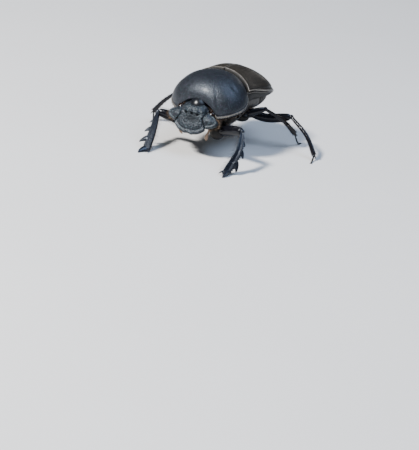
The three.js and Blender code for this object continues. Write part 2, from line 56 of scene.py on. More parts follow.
# %% Work out the trunk's, head's and floor's frames
MM = 0.001
NOSE_DOWN = math.radians(10.95)
LEAN = math.radians(-2.33)
STAND_HEIGHT = 13.0
SHIELD_REAR = 6.43
SHIELD_CROWN = 7.33
HEAD_SEAT = Vector((0, -5.5, 1.66))
HEAD_TURN = [math.radians(angle) for angle in (44.6, 3.1, -0.4)]


def turned(x, y, z=0.0):
    """Turns about x, then y, then z of the piece's own axes."""
    return Matrix.Rotation(x, 4, "X") @ Matrix.Rotation(y, 4, "Y") @ Matrix.Rotation(z, 4, "Z")


tilt = turned(NOSE_DOWN, LEAN)
shield_solid = np.array([v.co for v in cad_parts["pronotum"].data.vertices]) / MM
level = shield_solid @ np.array(tilt.to_3x3())
low, high = level.min(0), level.max(0)
trunk_origin = tilt @ Vector(((low[0] + high[0]) / 2, high[1] - SHIELD_REAR, high[2] - SHIELD_CROWN))
TRUNK = Matrix.Scale(MM, 4) @ Matrix.Translation(trunk_origin) @ tilt
HEAD = TRUNK @ Matrix.Translation(HEAD_SEAT) @ turned(*HEAD_TURN)
FLOOR = Matrix.Scale(MM, 4) @ Matrix.Translation(trunk_origin - Vector((0, 0, STAND_HEIGHT)))
print("trunk origin", [round(value, 2) for value in trunk_origin], "mm")

# %% [markdown]
# ## The camera
# A long lens looks at the beetle from its left front, a little above, and is rolled slightly. A short
# lens from nearby would swell the head and shrink the hind legs. The camera's own three directions are
# worked out first, because the lamps are placed by them too.

# %% Set the camera
AZIMUTH = math.radians(28.6)
ELEVATION = math.radians(21.4)
ROLL = math.radians(6.74)
DISTANCE = 526.0
AIM = Vector((6.2, -4.1, -19.2))
LENS = 160.16

back = Vector((
    math.sin(AZIMUTH) * math.cos(ELEVATION),
    -math.cos(AZIMUTH) * math.cos(ELEVATION),
    math.sin(ELEVATION),
))
level_right = Vector((math.cos(AZIMUTH), math.sin(AZIMUTH), 0))
level_up = back.cross(level_right)
right = level_right * math.cos(ROLL) + level_up * math.sin(ROLL)
up = level_up * math.cos(ROLL) - level_right * math.sin(ROLL)

bpy.ops.object.camera_add(location=FLOOR @ (AIM + back * DISTANCE))
camera = bpy.context.object
camera.rotation_euler = Matrix((right, up, back)).transposed().to_euler()
camera.data.lens = LENS
camera.data.clip_start = 0.01
camera.data.clip_end = 20
bpy.context.scene.camera = camera
print("camera at", [round(value, 4) for value in camera.location])

# %% [markdown]
# ## Finishes
# All of it is horn, but each part has its own surface: the neck shield is satin with a fine grain, the
# head is rough like sandpaper, the wing cases are brown-black and silky, the legs are polished, and the
# front shins, which dig, are worn satin. Painted images would blur from close up and need a map on every
# piece. Here a pattern is a plain sum of other patterns, with its sizes in millimetres, so the grain is
# sharp and equally fine everywhere.

# %% Patterns as plain maths


class Pattern:
    """One output of a finish's nodes. Sums and products of patterns add the Math nodes for them."""

    def __init__(self, finish, socket):
        self.finish = finish
        self.socket = socket

    def maths(self, operation, first, second):
        return self.finish.node("ShaderNodeMath", {"operation": operation}, {0: first, 1: second})

    def __add__(self, other):
        return self.maths("ADD", self, other)

    def __rsub__(self, other):
        return self.maths("SUBTRACT", other, self)

    def __mul__(self, other):
        return self.maths("MULTIPLY", self, other)

    __radd__ = __add__
    __rmul__ = __mul__


# %% A finish, and the patterns that it can hold


class Finish:
    """A material: its principled surface, and one method that adds any other node."""

    def __init__(self, name, **surface):
        self.material = bpy.data.materials.new(name)
        self.material.use_nodes = True
        self.tree = self.material.node_tree
        self.surface = self.tree.nodes["Principled BSDF"]
        self.feed(self.surface, surface)
        coordinates = self.node("ShaderNodeTexCoord", {}, {}, "Object")
        self.place = self.node(
            "ShaderNodeVectorMath", {"operation": "SCALE"}, {0: coordinates, "Scale": 1 / MM}
        )
        # The point attribute hollow: above 0 the colour gets painted shade, below 0 a painted highlight.
        self.hollow = self.node("ShaderNodeAttribute", {"attribute_name": "hollow"}, {}, "Fac")

    def feed(self, node, inputs):
        """Sets a node's sockets: a pattern is linked, three values are a colour, and one is itself."""
        for name, value in inputs.items():
            socket = node.inputs[name.replace("_", " ") if isinstance(name, str) else name]
            if isinstance(value, Pattern):
                self.tree.links.new(value.socket, socket)
            else:
                socket.default_value = (*value, 1) if isinstance(value, tuple) else value

    def node(self, kind, settings, inputs, output=0):
        """Adds a node: its settings first, then its sockets, and gives back one output."""
        node = self.tree.nodes.new(kind)
        for name, value in settings.items():
            if name == "stops":
                for stop, (spot, shade) in zip(node.color_ramp.elements, value):
                    stop.position = spot
                    stop.color = (shade, shade, shade, 1)
            else:
                setattr(node, name, value)
        self.feed(node, inputs)
        return Pattern(self, node.outputs[output])

    def grain(self, size, detail=2.0, rough=0.5):
        """Soft noise with features of about this size, between 0 and 1."""
        return self.node(
            "ShaderNodeTexNoise", {},
            {"Vector": self.place, "Scale": 1 / size, "Detail": detail, "Roughness": rough},
        )

    def cells(self, size, output, evenness=1.0):
        """A pattern of small cells of about this size."""
        return self.node(
            "ShaderNodeTexVoronoi", {"feature": "F1"},
            {"Vector": self.place, "Scale": 1 / size, "Randomness": evenness}, output,
        )

    def granules(self, size, evenness=1.0):
        """Round grains of about this size: 1 at each grain's middle, 0 between them."""
        return self.ramp(self.cells(size, "Distance", evenness), (0.0, 1.0), (0.75, 0.0))

    def flecks(self, size):
        """A random value for each small cell of about this size."""
        return self.node("ShaderNodeSeparateColor", {}, {0: self.cells(size, "Color")})

    def specks(self, size, start, end):
        """Soft irregular specks of about this size, where the noise is between start and end."""
        return self.ramp(self.grain(size, 3.0, 0.65), (start, 0.0), (end, 1.0))

    def ramp(self, value, *stops):
        """Turns a value into another, by two stops of a place and a shade."""
        return self.node("ShaderNodeValToRGB", {"stops": stops}, {0: value})

    def blend(self, share, first, second):
        """From the first colour to the second."""
        return self.node("ShaderNodeMix", {"data_type": "RGBA"}, {0: share, 6: first, 7: second}, 2)

    def relief(self, height, depth, strength=1.0):
        """Fine relief of this depth in millimetres."""
        return self.node(
            "ShaderNodeBump", {}, {"Height": height, "Distance": depth * MM, "Strength": strength}
        )

    def done(self, **inputs):
        self.feed(self.surface, inputs)
        print(self.material.name, len(self.tree.nodes), "nodes")
        return self.material


# %% Neck shield horn: satin charcoal with a cool sheen, a fine grain, painted specks of sheen, and painted shade and highlight at the rim
SKY_TINT = (0.76, 0.86, 1.0)
shield = Finish("shield_horn", Coat_Weight=0.06, Coat_Roughness=0.2, Specular_Tint=SKY_TINT)
speck = shield.specks(0.24, 0.52, 0.7) * 0.75 + shield.specks(0.5, 0.55, 0.72) * 0.25
cool = shield.blend(shield.grain(3.2, 3.0), (0.0018, 0.002, 0.0026), (0.006, 0.007, 0.0095))
# Pale blue and violet specks are a painted sheen: the glints on the tops of the fine granules.
sheen = shield.blend(shield.specks(0.42, 0.44, 0.56), (0.095, 0.07, 0.12), (0.055, 0.1, 0.11))
sheen_specked = shield.blend(speck * 0.7, cool, sheen)
# At the rim the colour is painted pale along the edge, a painted highlight, and near-black in the groove
# inside it, a painted shade.
lit_edges = shield.blend(shield.hollow * -0.75, sheen_specked, (0.26, 0.23, 0.19))
shield_horn = shield.done(
    Base_Color=shield.blend(shield.hollow, lit_edges, (0.0015, 0.0015, 0.0015)),
    Roughness=0.37 + shield.grain(0.4) * 0.1 + speck * 0.1,
    Normal=shield.relief(shield.granules(0.27) + shield.grain(0.12) * 0.4, 0.038),
)

# %% Wing case horn: brown-black and silky, with short fine wrinkles
wing = Finish("wing_horn", Specular_IOR_Level=0.36)
speck = wing.specks(0.22, 0.54, 0.7) * 0.7 + wing.specks(0.45, 0.56, 0.7) * 0.3
brown = wing.blend(wing.grain(2.4, 3.0), (0.004, 0.0033, 0.0027), (0.018, 0.0145, 0.0105))
speckled = wing.blend(speck * 0.85, brown, (0.105, 0.084, 0.06))
# Pale tan along the raised edges, broken by specks, is a painted highlight; near-black in the grooves,
# under the neck shield's edge and on the band below the keel is a painted shade.
ridge_glint = wing.hollow * -1.0 * (0.5 + wing.specks(0.3, 0.36, 0.6) * 0.5)
lit_edges = wing.blend(ridge_glint, speckled, (0.24, 0.22, 0.195))
wing_horn = wing.done(
    Base_Color=wing.blend(wing.hollow, lit_edges, (0.0022, 0.0018, 0.0016)),
    Roughness=0.34 + wing.grain(0.5) * 0.14 + wing.hollow * 0.2,
    Normal=wing.relief(wing.grain(0.2, 4.0, 0.7) + wing.granules(0.4) * 0.4, 0.035, 0.8),
)

# %% Head horn: rough, with pale blue-grey specks of painted sheen, kept out of the hollows, which stay dark as painted shade
face = Finish("face_horn", Specular_IOR_Level=0.36, Specular_Tint=(0.8, 0.9, 1.0))
speck = face.specks(0.2, 0.5, 0.68) * 0.7 + face.specks(0.5, 0.54, 0.7) * 0.35
black = face.blend(face.grain(1.1, 3.0), (0.0016, 0.0019, 0.0026), (0.006, 0.0072, 0.01))
sheen = face.blend(face.specks(0.4, 0.42, 0.58), (0.15, 0.13, 0.185), (0.1, 0.155, 0.175))
face_horn = face.done(
    Base_Color=face.blend(speck * (1.0 - face.hollow) * 0.8, black, sheen),
    Roughness=0.3 + face.grain(0.3) * 0.16 + face.hollow * 0.3,
    Normal=face.relief(face.granules(0.3) + face.grain(0.12) * 0.6, 0.06, 0.9),
)

# %% Leg horn: polished black, finely scratched
leg = Finish(
    "leg_horn", Specular_IOR_Level=0.22, Coat_Weight=0.03, Coat_Roughness=0.08,
    Specular_Tint=(0.9, 0.93, 1.0),
)
leg_horn = leg.done(
    Base_Color=leg.blend(leg.grain(0.9), (0.0025, 0.0025, 0.0035), (0.007, 0.007, 0.01)),
    Roughness=0.1 + leg.grain(0.22, 3.0) * 0.1,
    Normal=leg.relief(leg.grain(0.3, 3.0) + leg.granules(0.5) * 0.3, 0.02, 0.7),
)

# %% Digging horn: the front shins, worn satin, with bluish-grey specks of painted sheen
rake = Finish(
    "rake_horn", Specular_IOR_Level=0.42, Coat_Weight=0.08, Coat_Roughness=0.1, Specular_Tint=SKY_TINT
)
rake_horn = rake.done(
    Base_Color=rake.blend(
        rake.specks(0.16, 0.46, 0.7) * 0.5, (0.003, 0.0035, 0.0055), (0.038, 0.047, 0.075)
    ),
    Roughness=0.2 + rake.grain(0.25, 3.0) * 0.14,
    Normal=rake.relief(rake.grain(0.2, 3.0, 0.6) + rake.granules(0.4) * 0.3, 0.028, 0.8),
)

# %% Nape horn: smooth blue-black, less polished than the legs
nape = Finish("nape_horn", Specular_IOR_Level=0.42)
nape_horn = nape.done(
    Base_Color=nape.blend(nape.grain(0.9), (0.002, 0.0025, 0.0035), (0.007, 0.0085, 0.013)),
    Roughness=0.24 + nape.grain(0.4, 3.0) * 0.1,
    Normal=nape.relief(nape.grain(0.3, 3.0), 0.012, 0.6),
)

# %% Underside horn: duller black with pits
belly = Finish("belly_horn", Specular_IOR_Level=0.2)
belly_horn = belly.done(
    Base_Color=belly.blend(belly.grain(1.3, 3.0), (0.002, 0.0018, 0.0018), (0.008, 0.0065, 0.0056)),
    Roughness=0.34 + belly.grain(0.5) * 0.2,
    Normal=belly.relief(1.0 - belly.granules(0.5), 0.03, 0.7),
)

# %% Eyes and feelers: dark facets like glass, and paler horn
glass = Finish("eye_glass", Specular_IOR_Level=0.34)
eye_glass = glass.done(
    Base_Color=glass.blend(glass.grain(0.5), (0.003, 0.0012, 0.0008), (0.013, 0.0045, 0.0022)),
    Roughness=0.13 + glass.grain(0.3) * 0.06,
    Normal=glass.relief(glass.granules(0.07, 0.3), 0.002, 0.4),
)
feeler = Finish("feeler_horn")
feeler_horn = feeler.done(
    Base_Color=feeler.blend(feeler.grain(0.6), (0.085, 0.042, 0.02), (0.25, 0.16, 0.1)),
    Roughness=0.36 + feeler.grain(0.3) * 0.15,
    Normal=feeler.relief(feeler.grain(0.12), 0.01, 0.5),
)

# %% Bristles and beads: each has a tone of its own


def flecked(name, size, dark, pale, roughness, change):
    """A finish whose tone differs from one cell to the next, so from bristle to bristle."""
    finish = Finish(name)
    return finish.done(
        Base_Color=finish.blend(finish.flecks(size), dark, pale),
        Roughness=roughness + finish.grain(0.2) * change,
    )


bristle_gold = flecked("bristle_hair", 0.5, (0.05, 0.026, 0.012), (0.19, 0.12, 0.065), 0.4, 0.1)
bristle_dark = flecked("bristle_dark", 0.5, (0.01, 0.006, 0.004), (0.06, 0.03, 0.016), 0.35, 0.1)
# The rim beads are paler than the shield, grey-brown to pale, one tone per bead.
bead_horn = flecked("pale_beads", 0.4, (0.06, 0.056, 0.05), (0.32, 0.3, 0.26), 0.42, 0.15)

# %% [markdown]
# ## Thin shells
# A beetle's plates are thin domed shells. They could be sculpted from a sphere, but a groove that
# follows a rim is hard to keep even by hand. So a shell is made the way a thin sheet is pressed over a
# former: a grid primitive is added, its rows and columns are laid on the form, and its seam and poles
# are closed. Ridges and grooves are then swellings of the sheet along its own outward directions.

# %% Tools: add, choose and edit a piece, and set it into the frame


def choose(*pieces):
    """Selects these pieces alone, the first one active."""
    bpy.ops.object.select_all(action="DESELECT")
    for piece in pieces:
        piece.select_set(True)
    bpy.context.view_layer.objects.active = pieces[0]


def added(primitive, **settings):
    """Adds a primitive by its operator, with nothing else selected."""
    bpy.ops.object.select_all(action="DESELECT")
    primitive(**settings)
    return bpy.context.object


@contextmanager
def edit_mode():
    """Whatever stands inside this block is done in edit mode."""
    bpy.ops.object.mode_set(mode="EDIT")
    yield
    bpy.ops.object.mode_set(mode="OBJECT")


def settle(piece, place, finish, slot, *nodes):
    """Sets a finished piece into the frame, in its finish, and hides the solids that it stands for."""
    piece.data.transform(place)
    piece.data.materials.clear()
    piece.data.materials.append(finish)
    choose(piece)
    bpy.ops.object.shade_smooth()
    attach(piece, "root")
    if nodes:
        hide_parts(*nodes)
    faces = sum(len(face.vertices) - 2 for face in piece.data.polygons)
    print(piece.name, faces, "triangles")


# %% Tools: sheets pressed over a form


def normals_of(points):
    """Outward directions of a closed sheet given as rows and columns of points."""
    across = np.roll(points, -1, 1) - np.roll(points, 1, 1)
    along = np.gradient(points, axis=0)
    outward = np.cross(across, along)
    size = np.linalg.norm(outward, axis=2, keepdims=True)
    outward = outward / np.maximum(size, 1e-9)
    middle = points.reshape(-1, 3).mean(0)
    facing = np.sum(outward * (points - middle))
    outward = outward if facing > 0 else -outward
    outward[0], outward[-1] = outward[1].mean(0), outward[-2].mean(0)
    return outward


def swell(points, amount):
    """Moves each point of a sheet out along its normal by an amount in millimetres."""
    return points + normals_of(points) * amount[..., None]


def closed(values):
    """Repeats the first column at the end, so that a sheet meets itself."""
    return np.ascontiguousarray(np.concatenate([values, values[:, :1]], axis=1), dtype=np.float32)


def with_poles(sheet, first, last):
    """Closes each end of a sheet at a point."""
    ends = [np.repeat(pole[None, None], sheet.shape[1], 1) for pole in (first, last)]
    return np.concatenate([ends[0], sheet, ends[1]])


def pressed(name, points, hollow=None):
    """A closed skin: a grid primitive laid on rows and columns of points, its seam and poles merged.
    With hollow, each point also keeps 1 in a hollow, where its finish is painted dark as shade, to -1 on
    an edge, where it is painted pale as a highlight."""
    points = closed(points)
    rows, columns = points.shape[:2]
    piece = added(
        bpy.ops.mesh.primitive_grid_add, x_subdivisions=columns - 1, y_subdivisions=rows - 1, size=1
    )
    piece.name = name
    piece.data.vertices.foreach_set("co", points.ravel())
    if hollow is not None:
        layer = piece.data.attributes.new("hollow", "FLOAT", "POINT")
        layer.data.foreach_set("value", closed(hollow).ravel())
    with edit_mode():
        bpy.ops.mesh.select_all(action="SELECT")
        bpy.ops.mesh.remove_doubles(threshold=1e-4)
        bpy.ops.mesh.normals_make_consistent(inside=False)
    return piece


# %% Tools: soft steps and humps, which draw ridges and grooves


def bump(values, centre, width):
    """A smooth hump of height 1 at the centre."""
    return np.exp(-(((values - centre) / width) ** 2))


def mound(x, y, centre, widths):
    """A smooth round hump of height 1 at the centre, as seen from above."""
    return bump(x, centre[0], widths[0]) * bump(y, centre[1], widths[1])


def ease(values, start, end):
    """Rises smoothly from 0 at start to 1 at end."""
    share = np.clip((values - start) / (end - start), 0, 1)
    return share * share * (3 - 2 * share)


def softened(loop, rounds):
    """Evens out the corners of a closed loop."""
    for _ in range(rounds):
        loop = (2 * loop + np.roll(loop, 1, 0) + np.roll(loop, -1, 0)) / 4
    return loop


def below_edge(form, rows):
    """For a sheet whose first rows run out to its edge: how far inside the edge each of their points
    lies, along the surface, and which points they are."""
    step = np.linalg.norm(np.diff(form[:rows], axis=0), axis=2)
    inset = np.zeros(form.shape[:2])
    inset[: rows - 1] = np.cumsum(step[::-1], axis=0)[::-1]
    return inset, np.arange(form.shape[0])[:, None] < rows


# %% [markdown]
# ## The neck shield
# The shield is one domed plate with a hollow in front for the head. Its margin is drawn first, as seen
# from above: a broad curve behind, rounded sides and a sharp corner on each side of the head. It could
# be cut out of a dome, but the cut would have no rim. So rings are drawn in from the margin and climb to
# the crown, and the groove inside the margin can follow them all the way round.

# %% Draw the neck shield's margin
HALF_WIDTH = 10.48
WIDEST_Y = -0.6
REAR_HEIGHT = 5.68
REAR_ROUNDNESS = 2.24
CROWN_Y = 0.86
CORNER = (5.8, -6.75, -1.0)
HOLLOW_Y, HOLLOW_HEIGHT = -6.24, 3.08
SIDE_SWEEP = math.pi / 2 * 0.8
REAR_STEPS, SIDE_STEPS, FRONT_STEPS = 72, 48, 40
CORNER_STEP = REAR_STEPS + SIDE_STEPS


def shield_margin():
    """The margin's points from the middle of the rear edge, round the left side, and back."""
    turn = (math.pi / 2) * (1 - np.arange(REAR_STEPS + 1) / REAR_STEPS)
    x = HALF_WIDTH * np.cos(turn) ** (2 / REAR_ROUNDNESS)
    y = WIDEST_Y + (SHIELD_REAR - WIDEST_Y) * np.sin(turn) ** (2 / REAR_ROUNDNESS)
    rear = np.stack([x, y, REAR_HEIGHT * np.maximum(0, 1 - (x / HALF_WIDTH) ** 2) ** 0.8], 1)

    share = np.arange(1, SIDE_STEPS + 1) / SIDE_STEPS
    turn = SIDE_SWEEP * share
    inward = (np.cos(turn) - math.cos(SIDE_SWEEP)) / (1 - math.cos(SIDE_SWEEP))
    x = CORNER[0] + (HALF_WIDTH - CORNER[0]) * inward
    y = WIDEST_Y + (CORNER[1] - WIDEST_Y) * np.sin(turn) / math.sin(SIDE_SWEEP)
    side = np.stack([x, y, CORNER[2] * share**1.5], 1)

    out = 1 - np.arange(1, FRONT_STEPS + 1) / FRONT_STEPS
    y = HOLLOW_Y + (CORNER[1] - HOLLOW_Y) * out**2.2
    z = CORNER[2] + (HOLLOW_HEIGHT - CORNER[2]) * (1 - out**2) ** 0.7
    front = np.stack([CORNER[0] * out, y, z], 1)
    half = np.concatenate([rear, side, front])
    return np.concatenate([half, half[-2:0:-1] * (-1, 1, 1)])


margin = softened(shield_margin(), 3)
soft_margin = softened(margin, 640)
print("margin", len(margin), "points")

# %% Lay the rings of the neck shield's form
RIM = 0.55
SHARP_RIM = 0.14
CEILING = 0.2
DOME_ROWS = 90


def margin_ring(share, height):
    """A ring drawn in from the margin, at heights given by a rule."""
    edge = soft_margin + (margin - soft_margin) * share**3
    y = CROWN_Y + (edge[:, 1] - CROWN_Y) * share
    return np.stack([edge[:, 0] * share, y, height(edge, share)], 1)


def dome_height(edge, share):
    """The dome's height, from the margin at share 1 to the crown at 0."""
    return edge[:, 2] + (SHIELD_CROWN - edge[:, 2]) * (1 - share**2.3) ** (1 / 1.8)


def ceiling_height(drop):
    """A rule for the height of the hollow side, which starts below the margin by a drop."""
    return lambda edge, share: edge[:, 2] - drop + (CEILING - edge[:, 2]) * (1 - share**3)


def rim_thickness():
    """Full round the sides and behind, and sharp where the hollow frames the head."""
    front = ease(-margin[:, 1], 5.2, 6.2) * (1 - ease(np.abs(margin[:, 0]), 5.2, 5.9))
    return RIM - (RIM - SHARP_RIM) * front


def shield_form():
    """The dome from the crown down, round the lip, and back under to the middle."""
    shares = np.sin(np.linspace(0, math.pi / 2, DOME_ROWS)) ** 0.9
    dome = [margin_ring(share, dome_height) for share in shares]
    outward = margin - margin.mean(0)
    outward[:, 2] = 0
    outward /= np.linalg.norm(outward, axis=1, keepdims=True)
    thickness = rim_thickness()
    lip = []
    for turn in np.linspace(0, math.pi, 9)[1:-1]:
        ring = margin + outward * (thickness * 0.25 * math.sin(turn))[:, None]
        ring[:, 2] -= 0.5 * thickness * 0.75 * (1 - math.cos(turn))
        lip.append(ring)
    under = [margin_ring(share, ceiling_height(thickness)) for share in (0.99, 0.93, 0.8, 0.6, 0.35, 0.0)]
    return np.array(dome + lip + under)


form = shield_form()
print("shield form", form.shape[:2], "rows and columns")

# %% Press the neck shield, with a groove inside its rim and a pit on each side
RIM_SWELL, RIM_GROOVE = 0.05, 0.16
GROOVE_INSET = 0.46
PIT_DEPTH = 0.16
PIT = ((7.4, -0.4), (0.7071, 0.7071))

inset, on_dome = below_edge(form, DOME_ROWS)
round_rim = (rim_thickness() / RIM)[None]
rim_line = RIM_SWELL * bump(inset, 0.12, 0.14) - RIM_GROOVE * bump(inset, GROOVE_INSET, 0.17)
side_pit = -PIT_DEPTH * mound(np.abs(form[..., 0]), form[..., 1], *PIT)
shield_sheet = swell(form, (rim_line * round_rim + side_pit) * on_dome)
# Painted shade darkens the groove inside the full rim, and a painted highlight lightens the rim's edge.
rim_shade_and_highlight = 0.7 * bump(inset, GROOVE_INSET, 0.14) - bump(inset, 0.08, 0.14)
neck_shield = pressed("neck_shield", shield_sheet, rim_shade_and_highlight * on_dome * (round_rim > 0.9))

# %% [markdown]
# ## Copies of one model
# The shield's side rim is a row of small beads, and bristles grow below it. Beads pressed into the sheet
# would need a far finer sheet. One bead is modelled and copied to places along the margin instead, each
# copy a little different in size, and the copies are one mesh.

# %% Tools: stand copies of one model at many places


def aimed(root, direction, size, roll=0.0):
    """Stands a model at a root, along a direction."""
    turn = Vector(direction).to_track_quat("Z", "Y").to_matrix().to_4x4()
    return Matrix.Translation(Vector(root)) @ turn @ Matrix.Rotation(roll, 4, "Z") @ Matrix.Scale(size, 4)


def copies(name, model, places, roots_uv=None):
    """Copies of one model at many places, joined as one mesh. With roots_uv, each copy gets its own
    small patch of the map that its skin is unwrapped on."""
    base = np.array([v.co for v in model.data.vertices])
    faces = [list(face.vertices) for face in model.data.polygons]
    turns = np.array([np.array(place) for place in places])
    points = np.einsum("nij,vj->nvi", turns[:, :3, :3], base) + turns[:, None, :3, 3]
    count = len(base)
    mesh = bpy.data.meshes.new(name)
    mesh.from_pydata(
        points.reshape(-1, 3).tolist(), [],
        [[index + n * count for index in face] for n in range(len(places)) for face in faces],
    )
    if roots_uv is not None:
        spread = base[:, :2] / np.abs(base).max() * 0.0015
        patch = np.asarray(roots_uv)[:, None, :] * 0.99 + 0.005 + spread[None]
        corners = np.array([loop.vertex_index for loop in mesh.loops])
        layer = mesh.uv_layers.new(name="OFBake")
        layer.data.foreach_set("uv", patch.reshape(-1, 2)[corners].astype(np.float32).ravel())
    piece = bpy.data.objects.new(name, mesh)
    bpy.context.scene.collection.objects.link(piece)
    return piece


def run_length(line):
    """How far along a line each of its points is."""
    return np.concatenate([[0], np.cumsum(np.linalg.norm(np.diff(line, axis=0), axis=1))])


def points_at(marks, length, line):
    """The points of a line at these distances along it."""
    return np.stack([np.interp(marks, length, line[:, axis]) for axis in range(3)], 1)


def along_rim(first, last, pitch):
    """Evenly spaced places on the margin between two of its steps, left and right in turn: the side, the
    place, the level way out, and the share of the way round."""
    run = margin[first:last]
    length = run_length(run)
    marks = np.arange(0, length[-1], pitch)
    steps = np.interp(marks, length, np.arange(first, last))
    for (x, y, z), step in zip(points_at(marks, length, run), steps):
        for side in (1, -1):
            outward = Vector((x * side, (y - WIDEST_Y) * 1.4, 0)).normalized()
            share = step / len(margin)
            yield side, Vector((x * side, y, z)), outward, share if side > 0 else 1 - share


# %% Model one rim bead and copy it round the sides
BEAD_PITCH = 0.42
BEAD_RADIUS = 0.155
random = np.random.default_rng(7)

bead = added(bpy.ops.mesh.primitive_ico_sphere_add, subdivisions=2, radius=BEAD_RADIUS)
with edit_mode():
    bpy.ops.transform.resize(value=(0.85, 1.15, 0.8))
bead_places = [
    aimed(spot + outward * 0.08 - Vector((0, 0, 0.1)), outward, random.uniform(0.65, 1.0))
    for _, spot, outward, _ in along_rim(38, CORNER_STEP + 4, BEAD_PITCH)
]
settle(copies("rim_beads", bead, bead_places), TRUNK, bead_horn, "neck_shield")
bpy.data.objects.remove(bead)
settle(neck_shield, TRUNK, shield_horn, "neck_shield", "pronotum")

# %% [markdown]
# ## The wing cases
# Each case is a long arched shell: over the back it rises from a keel at the side to the seam in the
# middle, and under the keel an upright band tucks in to the belly. Faint grooves run from front to back,
# the seam's edge, the base and the keel are raised, and so is a second line on the band. One closed
# sheet takes all of these, with its rows set close together at the base, where the sharpest edge is. One
# case is worked out, and the other is its mirror image.

# %% The wing cases' measures from shoulder to tip
SHOULDER_Y, TIP_Y = 4.5, 21.45
FRONT_Y = 3.4
CASE_HALF_WIDTH = 9.55
CASE_CROWN, TAIL_CROWN, CROWN_CURVE = 6.16, -2.86, 2.78
TIP_DROP = 1.3
KEEL_START, KEEL_FALL = 3.16, 8.0
TAPER_START, TAPER_CURVE = 0.49, 2.36
SHOULDER_TUCK, SHOULDER_DROP = 0.6, 0.8
BAND_DEPTH = 2.7
SEAM_GAP = 0.03


def case_station(share):
    """Half width, crown, keel, band depth and foot at a share of the way to the tip."""
    s = max(0.0, share)
    taper = max(0.0, (s - TAPER_START) / (1 - TAPER_START)) ** TAPER_CURVE
    crown = CASE_CROWN + (TAIL_CROWN - CASE_CROWN) * s**CROWN_CURVE
    crown -= TIP_DROP * max(0.0, (s - 0.88) / 0.12) ** 3
    tuck = max(0.0, 1 - (share + 0.06) / 0.2) ** 2
    width = CASE_HALF_WIDTH * max(0.0, 1 - taper) ** (1 / TAPER_CURVE)
    return {
        "width": width - SHOULDER_TUCK * tuck,
        "crown": crown,
        "keel": min(KEEL_START - KEEL_FALL * share, crown) - SHOULDER_DROP * tuck,
        "band": BAND_DEPTH * (1 - 0.75 * s),
        "foot": width * (0.96 - 0.12 * s),
    }


def way_to_tip(y):
    """The share of the way from the shoulder to the tip."""
    return (y - SHOULDER_Y) / (TIP_Y - SHOULDER_Y)


def base_line(x):
    """Where the neck shield's rear edge crosses, seen from above."""
    reach = np.maximum(0, 1 - (np.abs(x) / HALF_WIDTH) ** REAR_ROUNDNESS) ** (1 / REAR_ROUNDNESS)
    return WIDEST_Y + (SHIELD_REAR - WIDEST_Y) * reach


# %% Lay the rows and columns of one wing case's form
TOP_COLUMNS, BAND_COLUMNS, INSIDE_COLUMNS = 150, 26, 16
NEAR_ROWS, FAR_ROWS = 44, 110
BEFORE_BASE, BEHIND_BASE = 0.6, 1.4


def case_rows(out):
    """Where each row crosses one column: close together along the base line, then on to the tip."""
    base = float(base_line(SEAM_GAP + (CASE_HALF_WIDTH - SEAM_GAP) * out))
    near = np.linspace(max(base - BEFORE_BASE, FRONT_Y), base + BEHIND_BASE, NEAR_ROWS)
    reach = np.sin(np.linspace(0, math.pi / 2, FAR_ROWS + 1)[1:] * 0.997)
    far = base + BEHIND_BASE + (TIP_Y - base - BEHIND_BASE) * reach
    return np.concatenate([near, far])


def case_column(out, down, back):
    """One column, by its place out from the seam, down the band, and back inside."""
    column = []
    for y in case_rows(out):
        share = way_to_tip(y)
        at = case_station(share)
        fullness = 0.93 - 0.42 * float(ease(share, 0.2, 0.85))
        arch = max(0.0, 1 - out**2.2) ** fullness
        x = SEAM_GAP + (at["width"] - SEAM_GAP) * out
        x += (at["foot"] - at["width"]) * down**1.5
        x = SEAM_GAP + (x - SEAM_GAP) * back
        z = at["keel"] + (at["crown"] - at["keel"]) * arch - at["band"] * down
        column.append((x, y, z))
    return column


even = np.linspace(0, 1, TOP_COLUMNS)
seam_to_keel = 0.5 * even + 0.25 * (1 - np.cos(math.pi * even))
going_down = np.linspace(0, 1, BAND_COLUMNS + 1)[1:]
going_back = np.linspace(1, 0, INSIDE_COLUMNS + 1)[1:]
outs = np.concatenate([seam_to_keel, np.ones(BAND_COLUMNS + INSIDE_COLUMNS)])
downs = np.concatenate([np.zeros(TOP_COLUMNS), going_down, np.ones(INSIDE_COLUMNS)])
backs = np.concatenate([np.ones(TOP_COLUMNS + BAND_COLUMNS), going_back])
form = np.array([case_column(*place) for place in zip(outs, downs, backs)]).transpose(1, 0, 2)
print("wing case form", form.shape[:2], "rows and columns")

# %% Draw the wing case's ridges and grooves
GROOVES = [0.135, 0.245, 0.355, 0.46, 0.565, 0.665, 0.76, 0.855]
GROOVE_DEPTH = 0.022
BASE_DIP = 1.3

on_top = np.arange(len(outs)) < TOP_COLUMNS
across = np.where(on_top, outs, 2.0)
over = on_top[None]
from_seam = form[..., 0] - SEAM_GAP
from_base = form[..., 1] - base_line(form[..., 0])
tail_fade = 1 - ease(way_to_tip(form[..., 1]), 0.74, 0.97)


def down_band(place, width):
    """A line that runs along the band."""
    return (bump(downs, place, width) * (downs > 0))[None] * tail_fade


grooves = sum(bump(across, place, 0.008) for place in GROOVES)[None] * tail_fade
seam_line = bump(from_seam, 0.0, 0.075) * over
seam_ridge = bump(from_seam, 0.24, 0.12) * over
base_ridge = bump(from_base, 0.96, 0.09) * over
keel_ridge = bump(across, 1.0, 0.012)[None] * tail_fade
keel_inside = bump(across, 0.965, 0.016)[None] * tail_fade
keel_groove = down_band(0.1, 0.045)
band_ridge = down_band(0.21, 0.04)
band_groove = down_band(0.32, 0.05)

amount = 0.09 * seam_ridge - 0.12 * seam_line + 0.12 * base_ridge - GROOVE_DEPTH * grooves
amount += 0.22 * keel_ridge - 0.1 * keel_inside - 0.2 * keel_groove
amount += 0.16 * band_ridge - 0.1 * band_groove
amount[:2], amount[-2:] = 0, 0
